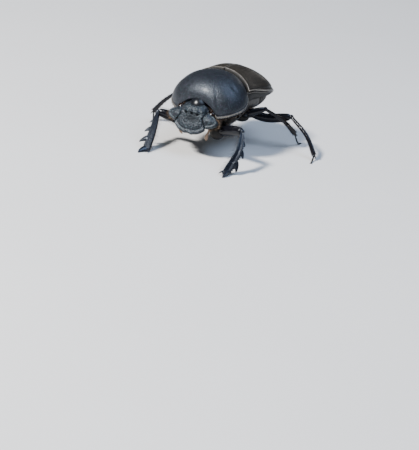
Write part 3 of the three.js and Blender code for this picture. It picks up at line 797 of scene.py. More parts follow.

# %% Press both wing cases
# Painted shade: dark in the dip under the neck shield's rear edge, in the seam's groove, in the groove
# below the keel and on the whole band under the keel.
hollow = (1 - ease(from_base, 0.68, 0.82)) * over + seam_line + keel_groove + ease(downs, 0.26, 0.36)[None]
# Painted highlight: pale along the base ridge, the seam's edge, the keel and the band's ridge.
ridge_highlight = base_ridge + 0.5 * seam_ridge + (0.8 * keel_ridge + 0.7 * band_ridge) * tail_fade**2
hollow = np.clip(hollow, 0, 1) - np.clip(ridge_highlight, 0, 1)
sheet = swell(form, amount)
sheet[..., 2] -= BASE_DIP * (1 - ease(from_base, -0.1, 0.8)) * over
tip = sheet[-1].mean(0)
tip[1] = TIP_Y
case_sheet = with_poles(sheet, sheet[0].mean(0), tip)
case_shade_and_highlight = np.concatenate([hollow[:1], hollow, hollow[-1:]])
SIDES = (("left", 1), ("right", -1))
for name, side in SIDES:
    wing_case = pressed(f"wing_case_{name}", case_sheet * (side, 1, 1), case_shade_and_highlight)
    settle(wing_case, TRUNK, wing_horn, "wing_case", f"elytron_{name}")


# %% [markdown]
# ## The breast and the belly
# Underneath, the first segment's breast hangs between the front legs, and behind it come the hind
# breast, the ringed abdomen and the tail plate. They are separate plates on the real beetle, and are
# pressed sheets here too, each closed at both ends, so that the joints between them stay sharp.

# %% Press the breast under the neck shield
BREAST_GAP = 0.12
BREAST_FLOOR = -6.1


def breast_height(edge, share):
    """Steep in front and behind, slanting in from the sides."""
    sideways = (np.abs(edge[:, 0]) / HALF_WIDTH) ** 2
    reach = (1 - share ** (6 - 3.6 * sideways)) ** (1 / (2.4 - 1.05 * sideways))
    top = edge[:, 2] - RIM - BREAST_GAP
    return top + (BREAST_FLOOR - top) * reach


over = [margin_ring(share, ceiling_height(RIM + BREAST_GAP)) for share in (0.0, 0.4, 0.7, 0.85, 0.92)]
under = [margin_ring(share, breast_height) for share in np.cos(np.linspace(0.05, math.pi / 2, 60)) * 0.945]
breast_sheet = np.array(over + under)
breast_sheet[-1] = breast_sheet[-1].mean(0)
wrinkles = np.array([[noise.noise(Vector(point) * 0.9) for point in row] for row in breast_sheet])
breast_sheet = swell(breast_sheet, 0.14 * wrinkles * (breast_sheet[..., 2] < -1.0))
settle(pressed("breast", breast_sheet), TRUNK, belly_horn, "underside", "prosternum")

# %% Lay the form of the rear body
BELLY_FLOOR, BELLY_SAG, TAIL_FLOOR = -6.2, 1.1, -5.2
BELLY_ROWS, ARCH_COLUMNS, FLAT_COLUMNS = 48, 72, 24


def belly_floor(share):
    """The belly's lowest line sags under the abdomen and rises to the tail."""
    s = max(0.0, share)
    sag = BELLY_FLOOR - BELLY_SAG * math.sin(min(1, s / 0.6) * math.pi / 2)
    return sag + (TAIL_FLOOR - sag) * max(0.0, (s - 0.5) / 0.5) ** 2


def belly_form(start, end, rounded):
    """A length of the rear body from one y to another, flat on top and deep-bellied below."""
    turn = np.linspace(0, math.pi, ARCH_COLUMNS)
    flat = np.linspace(-1, 1, FLAT_COLUMNS + 2)[1:-1]
    out = np.concatenate([np.cos(turn), flat])
    depth = np.concatenate([np.sin(turn) ** 0.75, np.zeros(FLAT_COLUMNS)])
    rings = []
    for step in np.linspace(0, 1, BELLY_ROWS):
        along = math.sin(math.pi / 2 * step) if rounded else step
        fade = math.sqrt(max(0, 1 - (along * 0.85) ** 3)) if rounded else 1
        y = start + (end - start) * along
        share = way_to_tip(y)
        at = case_station(share)
        width = at["foot"] * (0.96 - 0.1 * max(0, share)) * (0.6 + 0.4 * fade)
        top = at["keel"] - at["band"] - 0.12
        bottom = top + (min(belly_floor(share), top - 0.4) - top) * fade
        rings.append(np.stack([width * out, np.full(len(out), y), top + (bottom - top) * depth], 1))
    return np.array(rings)


# %% Press the hind breast, the abdomen and the tail plate


def belly_piece(name, start, end, node, rounded=False, cuts=()):
    """One rear segment. cuts are the y places of the grooves between its rings; a segment without them
    has a groove down its middle."""
    form = belly_form(start, end, rounded)
    y = form[..., 1]
    below = ease(form[0, :, 2].max() - form[..., 2], 0.2, 1.2)
    amount = -0.25 * bump(form[..., 0], 0, 0.25) * below * (not cuts)
    for cut in cuts:
        amount += (0.1 * bump(y, cut - 0.45, 0.3) - 0.2 * bump(y, cut, 0.14)) * below
    amount -= 0.3 * (bump(y, start, 0.2) + (0 if rounded else bump(y, end, 0.2)))
    sheet = swell(form, amount)
    sheet = with_poles(sheet, sheet[0].mean(0), sheet[-1].mean(0))
    settle(pressed(name, sheet), TRUNK, belly_horn, "underside", node)
    return sheet


hind_breast_sheet = belly_piece("hind_breast", 3.6, 11.72, "metathorax")
belly_piece("belly", 11.56, 18.72, "abdomen", cuts=(12.9, 14.2, 15.5, 16.8, 17.9))
belly_piece("tail_plate", 18.56, 20.9, "pygidium", rounded=True)

# %% [markdown]
# ## The head
# The head is a digging tool: a flat plate with a rounded front edge of worn teeth and a cheek on each
# side. It is seen most closely, so its top has some detail: a raised edge, a shallow dish behind it, a
# groove in front of each cheek, three low knobs with a pit before each, two smooth lobes at the back, and
# rough grains all over. Grains made by the finish alone would look flat at the edges, so the coarse ones
# are pressed into the sheet, and only the finest are left to the finish.

# %% Draw the head's outline
HEAD_OUTLINE = [
    (0, -8.6), (0.95, -8.78), (1.85, -8.52), (2.75, -8.25), (3.65, -7.65), (4.3, -6.9),
    (4.2, -6.35), (5.0, -6.25), (6.2, -5.7), (6.95, -5.05), (7.1, -4.3), (6.5, -3.5),
    (5.3, -2.9), (4.1, -2.3), (3.4, -1.4), (2.6, -0.75), (1.4, -0.55), (0, -0.7),
]
OUTLINE_STEPS = 300
CORE_HALF_WIDTH, CORE_FRONT, CORE_REAR = 5.2, -8.2, -0.9


def even_loop(controls, count):
    """A smooth closed loop through its control points."""
    controls = np.asarray(controls, float)
    steps = np.arange(count) * len(controls) / count
    first = steps.astype(int)
    share = (steps - first)[:, None]
    a, b, c, d = [controls[(first + shift) % len(controls)] for shift in (-1, 0, 1, 2)]
    return 0.5 * (
        2 * b + (c - a) * share + (2 * a - 5 * b + 4 * c - d) * share**2
        + (3 * b - a - 3 * c + d) * share**3
    )


head_loop = even_loop(HEAD_OUTLINE + [(-x, y) for x, y in HEAD_OUTLINE[-2:0:-1]], OUTLINE_STEPS)
core_y, core_length = (CORE_FRONT + CORE_REAR) / 2, (CORE_REAR - CORE_FRONT) / 2
core_turn = np.arctan2((head_loop[:, 1] - core_y) / core_length, head_loop[:, 0] / CORE_HALF_WIDTH)
head_core = np.stack(
    [CORE_HALF_WIDTH * np.cos(core_turn), core_y + core_length * np.sin(core_turn)], 1
)
print("head outline", len(head_loop), "points")

# %% Lay the rings of the head's form
HEAD_CENTRE_Y = -2.9
HEAD_DOME, HEAD_THROAT, HEAD_EDGE = 2.0, -2.3, 0.26
LIP_REACH = 0.12
HEAD_ROWS = 110


def head_ring(share, height, spread=0.0):
    """A ring drawn in from the outline, or let out a little past it."""
    edge = head_core + (head_loop - head_core) * share**3
    x = edge[:, 0] * share
    y = HEAD_CENTRE_Y + (edge[:, 1] - HEAD_CENTRE_Y) * share
    ring = np.stack([x, y, np.full(len(x), height)], 1)
    away = ring - (0, HEAD_CENTRE_Y, height)
    return ring + away / np.maximum(np.linalg.norm(away, axis=1, keepdims=True), 1e-6) * spread


def head_form():
    """The top from its middle out, round the lip, and back under to the throat."""
    top = [
        head_ring(share, HEAD_EDGE + (HEAD_DOME - HEAD_EDGE) * (1 - share**2.3) ** 0.8)
        for share in np.sin(np.linspace(0, math.pi / 2, HEAD_ROWS)) ** 0.9
    ]
    lip = [
        head_ring(1.0, HEAD_EDGE * math.cos(turn), LIP_REACH * math.sin(turn))
        for turn in np.linspace(0, math.pi, 8)[1:-1]
    ]
    bottom = [
        head_ring(share, -HEAD_EDGE + (HEAD_THROAT + HEAD_EDGE) * (1 - share**3) ** 0.9)
        for share in np.cos(np.linspace(0, math.pi / 2, 30))
    ]
    bottom[-1] = head_ring(0.0, HEAD_THROAT)
    return np.array(top + lip + bottom)


form = head_form()
print("head form", form.shape[:2], "rows and columns")

# %% Draw the head's dish, knobs, lobes and grooves
DISH = (0.2, -5.2)
LOBES_GAP = ((0.1, -1.0), (0.6, 0.8))
CHEEK_LINES = (
    ((4.35, -6.5), (3.2, -4.4), -0.4, 0.17),
    ((3.3, -4.2), (3.75, -2.4), -0.34, 0.2),
    ((4.9, -4.6), (6.0, -4.4), 0.22, 0.75),
)
KNOBS = ((-1.65, 0.34), (0.0, 0.28), (1.65, 0.34))
KNOB_Y, KNOB_WIDTH = -3.25, 0.2646
PIT_Y, PIT_WIDTH, PIT_DEPTH = -3.75, 0.3, 0.55


def line_distance(x, y, start, end):
    """How far each point is from a line between two places, both sides of the head alike."""
    start, end = np.array(start), np.array(end)
    way = end - start
    px, py = np.abs(x) - start[0], y - start[1]
    share = np.clip((px * way[0] + py * way[1]) / (way @ way), 0, 1)
    return np.hypot(px - share * way[0], py - share * way[1])


x, y = form[..., 0], form[..., 1]
inset, on_top = below_edge(form, HEAD_ROWS)
raised_edge = bump(inset, 0.35, 0.3)
furrow = bump(inset, 0.95, 0.3) * ease(-y, 4.0, 5.5)
dish = mound(x, y, DISH, (2.3, 1.25))
lobes = 1 - ease((np.abs(x) / 3.3) ** 3 + (np.abs(y + 2.2) / 1.55) ** 3, 0.6, 1.15)
amount = 0.16 * (raised_edge - furrow) - 0.4 * dish + 0.42 * (lobes - mound(x, y, *LOBES_GAP))
for start, end, height, width in CHEEK_LINES:
    amount += height * bump(line_distance(x, y, start, end), 0, width)
for knob_x, height in KNOBS:
    amount += height * mound(x, y, (knob_x, KNOB_Y), (KNOB_WIDTH, KNOB_WIDTH))
    amount -= PIT_DEPTH * mound(x, y, (knob_x, PIT_Y), (PIT_WIDTH, PIT_WIDTH))


# %% Roughen the head with grains and press it
GRAIN_SIZE, GRAIN_HEIGHT = 0.55, 0.12


def grain_relief(sheet, size):
    """Rough round grains: 1 at each grain's top."""
    nearest = np.array([[noise.voronoi(Vector(point) / size)[0][0] for point in row] for row in sheet])
    return np.clip(1 - nearest * 1.7, -0.4, 1)


coarse = 0.5 + mound(x, y, (0, DISH[1]), (2.2, 1.3))
amount += GRAIN_HEIGHT * grain_relief(form, GRAIN_SIZE) * coarse * ease(inset, 0.05, 0.5)
amount *= on_top
around = softened(softened(amount.T, 12).T, 12)
# Painted shade: the colour is darker in the valleys between the grains, ridges and knobs, and in the dish.
valley = ease(around - amount, 0.02, 0.12)
hollow = np.clip(valley + mound(x, y, DISH, (2.2, 1.2)), 0, 1)
settle(pressed("head_plate", swell(form, amount), hollow), HEAD, face_horn, "head_plate", "head")

# %% Model the back of the head, and the eyes
NECK = ((0, -5.75, 0.55), (2.6, 2.7, 2.75))
EYE = ((4.55, -2.45, -0.12), (0.9, 1.1, 0.72))


def ball(name, centre, radii, segments=48, rings=24):
    """A sphere stretched to these radii."""
    piece = added(bpy.ops.mesh.primitive_uv_sphere_add, segments=segments, ring_count=rings, radius=1)
    piece.name = name
    with edit_mode():
        bpy.ops.transform.resize(value=radii)
    piece.data.transform(Matrix.Translation(centre))
    return piece


settle(ball("nape", *NECK), TRUNK, nape_horn, "leg", "neck")
for name, side in SIDES:
    (eye_x, eye_y, eye_z), radii = EYE
    eye = ball(f"eye_ball_{name}", (eye_x * side, eye_y, eye_z), radii, 32, 16)
    settle(eye, HEAD, eye_glass, "eye", f"eye_{name}")


# %% [markdown]
# ## Limbs
# A beetle's leg is a chain of stiff tubes: a short hip, a strong thigh, a ridged shin and, on the middle
# and hind legs, a thin jointed foot. Cylinders would look like pipes, because each real tube bends and
# changes its width on the way. So a limb is one sheet wrapped round a smooth line, with a profile of
# widths and a few ridges. It also tells where on its surface a tooth, a spur or a bristle stands.

# %% Tools: a smooth line through a few knots


def smooth_line(knots, count):
    """Evenly spaced points on a smooth line through a few knots."""
    knots = [np.array(knot, float) for knot in knots]
    knots = [2 * knots[0] - knots[1], *knots, 2 * knots[-1] - knots[-2]]
    line = []
    for a, b, c, d in zip(knots, knots[1:], knots[2:], knots[3:]):
        times = np.cumsum([0] + [np.linalg.norm(q - p) ** 0.5 for p, q in ((a, b), (b, c), (c, d))])
        t = np.linspace(times[1], times[2], 60)[:, None]

        def between(p, q, i, j):
            return (p * (times[j] - t) + q * (t - times[i])) / (times[j] - times[i])

        ab, bc, cd = between(a, b, 0, 1), between(b, c, 1, 2), between(c, d, 2, 3)
        line.append(between(between(ab, bc, 0, 2), between(bc, cd, 1, 3), 1, 2))
    line = np.concatenate(line)
    length = run_length(line)
    return points_at(np.linspace(0, length[-1], count), length, line)


# %% Tools: stand a model on a surface


def planted(model, root, direction, toward, size):
    """A copy of a model, with its own mesh, stood at a root along a direction, its bend and breadth
    turned toward another."""
    z = Vector(direction).normalized()
    y = z.cross(Vector(toward)).normalized()
    turn = Matrix((y.cross(z), y, z)).transposed().to_4x4()
    piece = model.copy()
    piece.data = model.data.copy()
    bpy.context.scene.collection.objects.link(piece)
    piece.data.transform(Matrix.Translation(Vector(root)) @ turn @ Matrix.Scale(size, 4))
    return piece


# %% Tools: tubes along a bent line


class Limb:
    """A bent tube: its line, its directions across, and its half-widths on the way."""

    def __init__(self, knots, profile, broad, ridges, rows, columns, rounding=0.05, evening=13):
        self.line = smooth_line(knots, rows)
        self.place = np.linspace(0, 1, rows)
        self.along = np.gradient(self.line, axis=0)
        self.along /= np.linalg.norm(self.along, axis=1, keepdims=True)
        broad = np.array(broad, float)
        self.wide = broad - self.along * (self.along @ broad)[:, None]
        self.wide /= np.linalg.norm(self.wide, axis=1, keepdims=True)
        self.thick = np.cross(self.along, self.wide)
        profile = np.array(profile)
        sizes = [np.interp(self.place, profile[:, 0], profile[:, axis]) for axis in (1, 2)]
        kernel = np.hanning(evening) / np.hanning(evening).sum()
        self.sizes = [np.convolve(np.pad(size, evening // 2, "edge"), kernel, "valid") for size in sizes]
        from_end = np.minimum(self.place, 1 - self.place) / rounding
        self.cap = np.sqrt(np.clip(1 - (1 - np.minimum(from_end, 1)) ** 2, 0, 1))
        self.turn = np.arange(columns) / columns * 2 * math.pi
        self.bulge = np.ones(columns)
        for angle, height, width in ridges:
            off = (np.degrees(self.turn) - angle + 180) % 360 - 180
            self.bulge += height * bump(off, 0, width)

    def sheet(self):
        cos, sin = np.cos(self.turn) * self.bulge, np.sin(self.turn) * self.bulge
        width, thick = (size * self.cap for size in self.sizes)
        return (
            self.line[:, None]
            + self.wide[:, None] * (cos[None] * width[:, None])[..., None]
            + self.thick[:, None] * (sin[None] * thick[:, None])[..., None]
        )

    def at(self, place, degrees):
        """A point of the surface, the way out of it and the way along, at a place and an angle round."""
        row = min(len(self.place) - 1, int(round(place * (len(self.place) - 1))))
        turn = math.radians(degrees)
        column = int(round(turn / (2 * math.pi) * len(self.turn))) % len(self.turn)
        across = self.wide[row] * math.cos(turn) * self.sizes[0][row]
        across = across + self.thick[row] * math.sin(turn) * self.sizes[1][row]
        root = self.line[row] + across * self.bulge[column]
        out = self.wide[row] * math.cos(turn) + self.thick[row] * math.sin(turn)
        return root, out, self.along[row]

    def armed(self, model, place, degrees, sunk, outward, forward, size):
        """A copy of a model on the surface, sunk a little, pointing by so much outward and forward."""
        root, out, along = self.at(place, degrees)
        return planted(model, root - out * sunk, out * outward + along * forward, along, size)


# %% The legs' joints and measures
# Each leg: its hip, knee and ankle, how far the shin's middle is bowed, and the tip of its foot.
LEGS = {
    "front_left": ((5.0, -3.8, 6.6), (13.9, -6.7, 9.55), (14.6, -15.0, -0.2), (1.3, -0.2, 0.2), None),
    "front_right": ((-4.6, -3.8, 6.2), (-12.0, -5.8, 7.9), (-8.8, -15.6, -0.2), (0.3, -0.2, 0.1), None),
    "middle_left": (
        (6.0, 5.9, 8.8), (10.9, 10.2, 11.0), (16.5, 18.0, 3.85), (0.5, -0.4, 0.8), (16.6, 21.9, 0.14)
    ),
    "middle_right": (
        (-5.6, 6.0, 8.3), (-14.4, 7.0, 9.9), (-20.9, 6.9, 2.8), (-0.3, 0, 0.2), (-21.6, 8.4, 0.14)
    ),
    "hind_left": (
        (4.6, 11.7, 8.0), (15.4, 16.9, 8.5), (25.2, 13.4, 1.3), (0.5, 0.2, 0.8), (26.2, 10.1, 0.14)
    ),
    "hind_right": (
        (-5.0, 10.9, 8.0), (-13.5, 17.5, 9.0), (-16.0, 27.3, 2.0), (-0.5, 0.2, 0.6), (-15.6, 31.0, 0.14)
    ),
}
# Thighs and shins: places along, each with a half width and a half thickness.
MEASURES = {
    "front": {
        "arch": 0.2, "bend": 0.42, "hip": (2.1, 1.9, 2.3),
        "thigh": [(0, 0.9, 0.8), (0.25, 1.35, 1.0), (0.75, 1.3, 1.0), (0.92, 1.05, 0.9), (1, 0.9, 0.8)],
        "shin": [(0, 0.4, 0.45), (0.25, 0.74, 0.5), (0.6, 1.0, 0.48), (0.88, 1.02, 0.45), (1, 0.7, 0.4)],
    },
    "middle": {
        "arch": 0.1, "bend": 0.57, "hip": (2.6, 1.6, 1.4),
        "thigh": [(0, 0.7, 0.65), (0.4, 1.05, 0.8), (0.8, 0.85, 0.7), (1, 0.6, 0.55)],
        "shin": [(0, 0.42, 0.4), (0.3, 0.45, 0.4), (0.8, 0.58, 0.48), (1, 0.72, 0.55)],
    },
    "hind": {
        "arch": -0.9, "bend": 0.57, "hip": (2.8, 1.5, 1.3),
        "thigh": [(0, 0.75, 0.65), (0.35, 1.2, 0.85), (0.75, 1.25, 0.9), (0.93, 1.0, 0.8), (1, 0.8, 0.65)],
        "shin": [(0, 0.45, 0.42), (0.3, 0.52, 0.45), (0.8, 0.64, 0.5), (1, 0.75, 0.55)],
    },
}
UP = (0, 0, 1)
AHEAD = (0, -1, -0.3)
FRONT_RIDGES = [(48, 0.42, 13), (132, 0.42, 13), (90, -0.34, 22), (-48, 0.3, 12), (-132, 0.3, 12)]
REAR_RIDGES = [(60, 0.12, 14), (120, 0.1, 14), (240, 0.12, 14), (300, 0.1, 14)]
THIGH_RIDGES = [(100, 0.05, 18), (80, 0.05, 18)]
print(len(LEGS), "legs")

# %% [markdown]
# ## Teeth, spurs and claws
# A front shin is a digging rake, with three big teeth and a toe on its outer edge, small saw teeth
# between them and a spur inside. The other shins carry small stubs and a spur, and each foot has two
# claws. All of them are spikes of a few kinds, so each kind is modelled once, by extruding a circle, and
# copied. A rake's parts overlap, and are melted into one skin, because a real rake has no seams.

# %% Model the spikes that the legs carry


NARROWED = 0.48


def spike(sides, root, length, tip, bend=0.0, flat=1.0):
    """A curved spike along +Z: a circle extruded three times, narrower and further over each time. Each
    time has its share of the length and of the bend; the last narrows what is left to the tip."""
    piece = added(bpy.ops.mesh.primitive_circle_add, vertices=sides, radius=root, fill_type="NGON")
    with edit_mode():
        bpy.ops.transform.resize(value=(1, flat, 1))
        for rise, over, width in ((0.4, 0.1, 0.78), (0.35, 0.35, 0.62), (0.25, 0.55, tip / NARROWED)):
            bpy.ops.mesh.extrude_region_move(
                TRANSFORM_OT_translate={"value": (bend * over, 0, length * rise)}
            )
            bpy.ops.transform.resize(value=(width, width, 1))
        bpy.ops.mesh.select_all(action="SELECT")
        bpy.ops.mesh.normals_make_consistent(inside=False)
    return piece


rake_tooth = spike(14, 0.85, 2.15, 0.26, 0.55, 0.62)
saw_tooth = spike(8, 0.2, 0.34, 0.14, flat=0.8)
spur_spike = spike(10, 0.28, 1.9, 0.1, 0.35)
claw_spike = spike(8, 0.11, 0.75, 0.05, 0.32)
stub_spike = spike(6, 0.085, 0.42, 0.02, 0.05)
models = [rake_tooth, saw_tooth, spur_spike, claw_spike, stub_spike]
print(len(models), "kinds of spike")

# %% Shape a front shin: the digging rake
RAKE_TEETH = ((0.22, 0.66), (0.42, 0.92), (0.66, 1.1))
SAW_TEETH = (0.13, 0.31, 0.35, 0.53, 0.57, 0.78, 0.82, 0.86)
RAKE_WAY = {"front_left": (0.87, 0.38, -0.33), "front_right": (-1, 0, 0)}
TOOTH_SLANT = {"front_left": 0.8, "front_right": 0.3}
limbs = {}


def front_shin(name, knots, profile, outward):
    """Teeth on the outer edge, saw teeth between, a toe and an inner spur."""
    shin = Limb(knots, profile, outward, FRONT_RIDGES, 110, 40, 0.03)
    limbs[name] = shin
    parts = [pressed(f"shin_{name}", shin.sheet())]
    for place, size in RAKE_TEETH:
        parts.append(shin.armed(rake_tooth, place, 0, 0.4, 1, TOOTH_SLANT[name], size))
    for place in SAW_TEETH:
        parts.append(shin.armed(saw_tooth, place, 0, 0.06, 1, 0.3, 1.1))
    root, out, _ = shin.at(0.94, 0)
    toe_way = (outward[0] * 0.42, -0.9, 0)
    parts.append(planted(rake_tooth, root - out * 0.7 + (0, 0, 0.25), toe_way, AHEAD, 1.2))
    root, out, _ = shin.at(0.94, 180)
    spur_way = (-outward[0] * 0.4, -0.9, 0)
    parts.append(planted(spur_spike, root - out * 0.3 + (0, 0, 0.2), spur_way, AHEAD, 1.05))
    return parts


# %% Shape a middle or hind shin
STUB_ROWS = ((0, 0.3), (180, 0.36), (90, 0.42))


def rear_shin(name, knots, profile, outward):
    """A slender ridged shin with small stubs along its edges and spurs round its end."""
    shin = Limb(knots, profile, UP, REAR_RIDGES, 110, 36, 0.03)
    limbs[name] = shin
    parts = [pressed(f"shin_{name}", shin.sheet())]
    root, along = shin.line[-5], shin.along[-5]
    parts.append(planted(spur_spike, root, along + np.array(outward) * 0.35, along, 0.9))
    for degrees in range(0, 360, 45):
        parts.append(shin.armed(stub_spike, 0.975, degrees, 0.1, 0.45, 1, 1.3))
    for degrees, first in STUB_ROWS:
        for place in np.arange(first, 0.93, 0.13):
            parts.append(shin.armed(stub_spike, place, degrees, 0.06, 0.9, 1, 1.0))
    return parts


# %% Shape a foot: five small joints that flare at their ends, and two claws
TARSUS_JOINT = ((0, 0.15, 0.14), (0.13, 0.25, 0.22), (0.185, 0.27, 0.24))
STUB_CLEARANCE = 0.25


def jointed(count, joint_profile, end):
    """A profile that repeats for each small joint of a limb."""
    joints = [
        (joint / count + ahead, wide, thick)
        for joint in range(count)
        for ahead, wide, thick in joint_profile
    ]
    return joints + [(1, *end)]


def foot(name, ankle, toe):
    """Steep from the ankle, then flat along the floor to the claws."""
    toe = np.array(toe)
    instep = ankle + (toe - ankle) * (0.5, 0.5, 0.75)
    sole = ankle + (toe - ankle) * (0.8, 0.8, 1)
    profile = jointed(5, TARSUS_JOINT, (0.16, 0.15))
    tarsus = Limb([ankle, instep, sole, toe], profile, UP, (), 120, 18, 0.02, 5)
    limbs[f"foot_{name}"] = tarsus
    sheet = tarsus.sheet()
    sheet[..., 2] = np.maximum(sheet[..., 2], 0.0)
    parts = [pressed(f"foot_{name}", sheet)]
    along = tarsus.along[-1]
    across = np.cross(along, UP)
    across /= np.linalg.norm(across)
    for side in (1, -1):
        way = along * 0.8 + across * side * 0.6 + np.array((0, 0, 0.35))
        parts.append(planted(claw_spike, toe - along * 0.1, way, (0, 0, -1), 0.8))
    for joint in range(4):
        for degrees in (60, 120, 240, 300):
            place = (joint + 0.93) / 5
            if tarsus.at(place, degrees)[0][2] > STUB_CLEARANCE:
                parts.append(tarsus.armed(stub_spike, place, degrees, 0, 0.5, 1, 0.6))
    return parts


# %% Tools: join, melt and trim a leg's parts


def joined(pieces):
    """Joins pieces into the first one, which keeps its name."""
    choose(*pieces)
    bpy.ops.object.join()
    return pieces[0]


def apply_modifier(piece, kind, **settings):
    """Adds a modifier with its settings and applies it."""
    choose(piece)
    modifier = piece.modifiers.new(kind.title(), kind)
    for name, value in settings.items():
        setattr(modifier, name, value)
    bpy.ops.object.modifier_apply(modifier=modifier.name)


def melt(piece, grain, rounds):
    """Runs overlapping closed forms into one skin of small even faces, and softens it."""
    apply_modifier(piece, "REMESH", mode="VOXEL", voxel_size=grain)
    apply_modifier(piece, "SMOOTH", factor=0.5, iterations=rounds)


def keep_above_floor(piece):
    """Flattens what reaches under the floor."""
    points = np.empty(len(piece.data.vertices) * 3, np.float32)
    piece.data.vertices.foreach_get("co", points)
    points[2::3] = np.maximum(points[2::3], 0.0)
    piece.data.vertices.foreach_set("co", points)


# %% Build each leg from hip to claw
KNEE_RADII = (0.62, 0.62, 0.62)
MELT_GRAIN, MELT_ROUNDS = 0.06, 3

for name, (hip, knee, ankle, bow, toe) in LEGS.items():
    measures = MEASURES[name.split("_")[0]]
    front_pair = name.startswith("front")
    outward = RAKE_WAY[name] if front_pair else (1 if name.endswith("left") else -1, 0, 0)
    hip, knee, ankle = np.array(hip), np.array(knee), np.array(ankle)

    hip_piece = ball(f"hip_{name}", (0, 0, 0), measures["hip"], 32, 16)
    hip_piece.data.transform(Matrix.Translation(Vector(hip)) @ tilt)
    settle(hip_piece, FLOOR, belly_horn, "leg", f"coxa_{name}")

    middle = (hip + knee) / 2 + (0, 0, measures["arch"])
    thigh = Limb([hip, middle, knee], measures["thigh"], UP, THIGH_RIDGES, 70, 36, 0.07)
    limbs[f"thigh_{name}"] = thigh
    settle(pressed(f"thigh_{name}", thigh.sheet()), FLOOR, leg_horn, "leg", f"femur_{name}")

    middle = knee + (ankle - knee) * measures["bend"] + bow
    make_shin = front_shin if front_pair else rear_shin
    parts = make_shin(name, [knee, middle, ankle], measures["shin"], outward)
    shin_piece = joined([*parts, ball("knee", knee, KNEE_RADII, 20, 12)])
    if front_pair:
        melt(shin_piece, MELT_GRAIN, MELT_ROUNDS)
    keep_above_floor(shin_piece)
    settle(shin_piece, FLOOR, rake_horn if front_pair else leg_horn, "leg", f"tibia_{name}")

    if toe:
        foot_piece = joined(foot(name, ankle, toe))
        keep_above_floor(foot_piece)
        settle(foot_piece, FLOOR, leg_horn, "leg", f"tarsus_{name}")


# %% [markdown]
# ## Feelers and palps
# Under the head are two feelers, each a jointed stalk with a club of three leaves, and two short palps
# at the mouth. They are limbs too, only thin and pale, so the same tubes serve.

# %% Model the feelers and the mouth's palps
ANTENNA = ((3.1, -3.4, -1.0), (4.4, -5.2, -1.9), (4.3, -7.0, -2.6))
CLUB = ((4.3, -6.9, -2.6), (3.9, -7.7, -3.3), (3.5, -8.1, -4.2))
CLUB_LEAF = [(0, 0.2, 0.1), (0.5, 0.42, 0.12), (1, 0.26, 0.1)]
LEAF_SHIFTS = (-0.26, 0.0, 0.26)
PALP = ((1.0, -4.2, -1.6), (1.7, -5.9, -2.5), (1.6, -7.2, -2.7))
PALP_PROFILE = [
    (0, 0.2, 0.2), (0.3, 0.3, 0.3), (0.36, 0.2, 0.2), (0.66, 0.29, 0.29), (0.7, 0.2, 0.2),
    (0.88, 0.26, 0.26), (1, 0.16, 0.16),
]
SIDEWAYS = (1, 0, 0)
stalk_profile = jointed(6, ((0, 0.2, 0.2), (0.12, 0.28, 0.28)), (0.2, 0.2))

for name, side in SIDES:
    mirror = np.array((side, 1, 1))
    stalk = Limb(np.array(ANTENNA) * mirror, stalk_profile, UP, (), 60, 16, 0.03)
    parts = [pressed(f"feeler_{name}", stalk.sheet())]
    for shift in LEAF_SHIFTS:
        line = (np.array(CLUB) + (0, shift * 0.5, shift)) * mirror
        leaf = Limb(line, CLUB_LEAF, SIDEWAYS, (), 30, 18, 0.12)
        parts.append(pressed("leaf", leaf.sheet()))
    settle(joined(parts), HEAD, feeler_horn, "feeler", f"antenna_{name}")

    palp = Limb(np.array(PALP) * mirror, PALP_PROFILE, SIDEWAYS, (), 50, 16)
    settle(pressed(f"mouth_palp_{name}", palp.sheet()), HEAD, feeler_horn, "feeler", f"palp_{name}")


# %% [markdown]
# ## Bristles
# Short stiff hairs grow along the edges: a close row under the neck shield's side rim, golden tufts at
# the cheeks and the mouth, dark ones at the shield's front corners, fringes on the front thighs and on
# every shin, and a sparse coat underneath. Hair strands would vanish from the finished model, which is
# made of faces alone, so each bristle is a thin spike. Each kind is modelled once and copied, and the
# copies on one skin are one mesh.

# %% Model one straight and one bent bristle
short_bristle = spike(5, 0.035, 1.0, 0.03, 0.12)
long_bristle = spike(5, 0.032, 1.8, 0.03, 0.4)
models += [short_bristle, long_bristle]


def grow(name, model, place, finish, slot, bristles):
    """Bristles as one mesh: each has its root, its way, its size and its place on the skin's map."""
    places = [
        aimed(root, Vector(way), size, random.uniform(0, 2 * math.pi))
        for root, way, size, _ in bristles
    ]
    settle(copies(name, model, places, [spot for *_, spot in bristles]), place, finish, slot)


# %% The row under the neck shield's side rim
ROW_PITCH, ROW_DROP = 0.16, 0.5
bristles = []
for _, spot, outward, share in along_rim(44, CORNER_STEP + 6, ROW_PITCH):
    root = spot - outward * 0.05 - Vector((0, 0, ROW_DROP))
    way = outward + Vector((*random.uniform(-0.25, 0.25, 2), random.uniform(-0.9, -0.3)))
    bristles.append((root, way, random.uniform(0.45, 0.8), (share, 0.85)))
grow("rim_bristles", short_bristle, TRUNK, bristle_dark, "neck_shield", bristles)

# %% Tufts at the neck shield's front corners
TUFT_PITCH = 0.11
bristles = []
for side, spot, _, share in along_rim(CORNER_STEP - 10, CORNER_STEP + 16, TUFT_PITCH):
    root = spot + Vector((0, 0.1, -0.4))
    way = (side * random.uniform(-0.3, 0.5), random.uniform(-1.0, -0.4), random.uniform(-0.9, -0.2))
    bristles.append((root, way, random.uniform(0.5, 1.1), (share, 0.9)))
grow("corner_bristles", long_bristle, TRUNK, bristle_dark, "neck_shield", bristles)

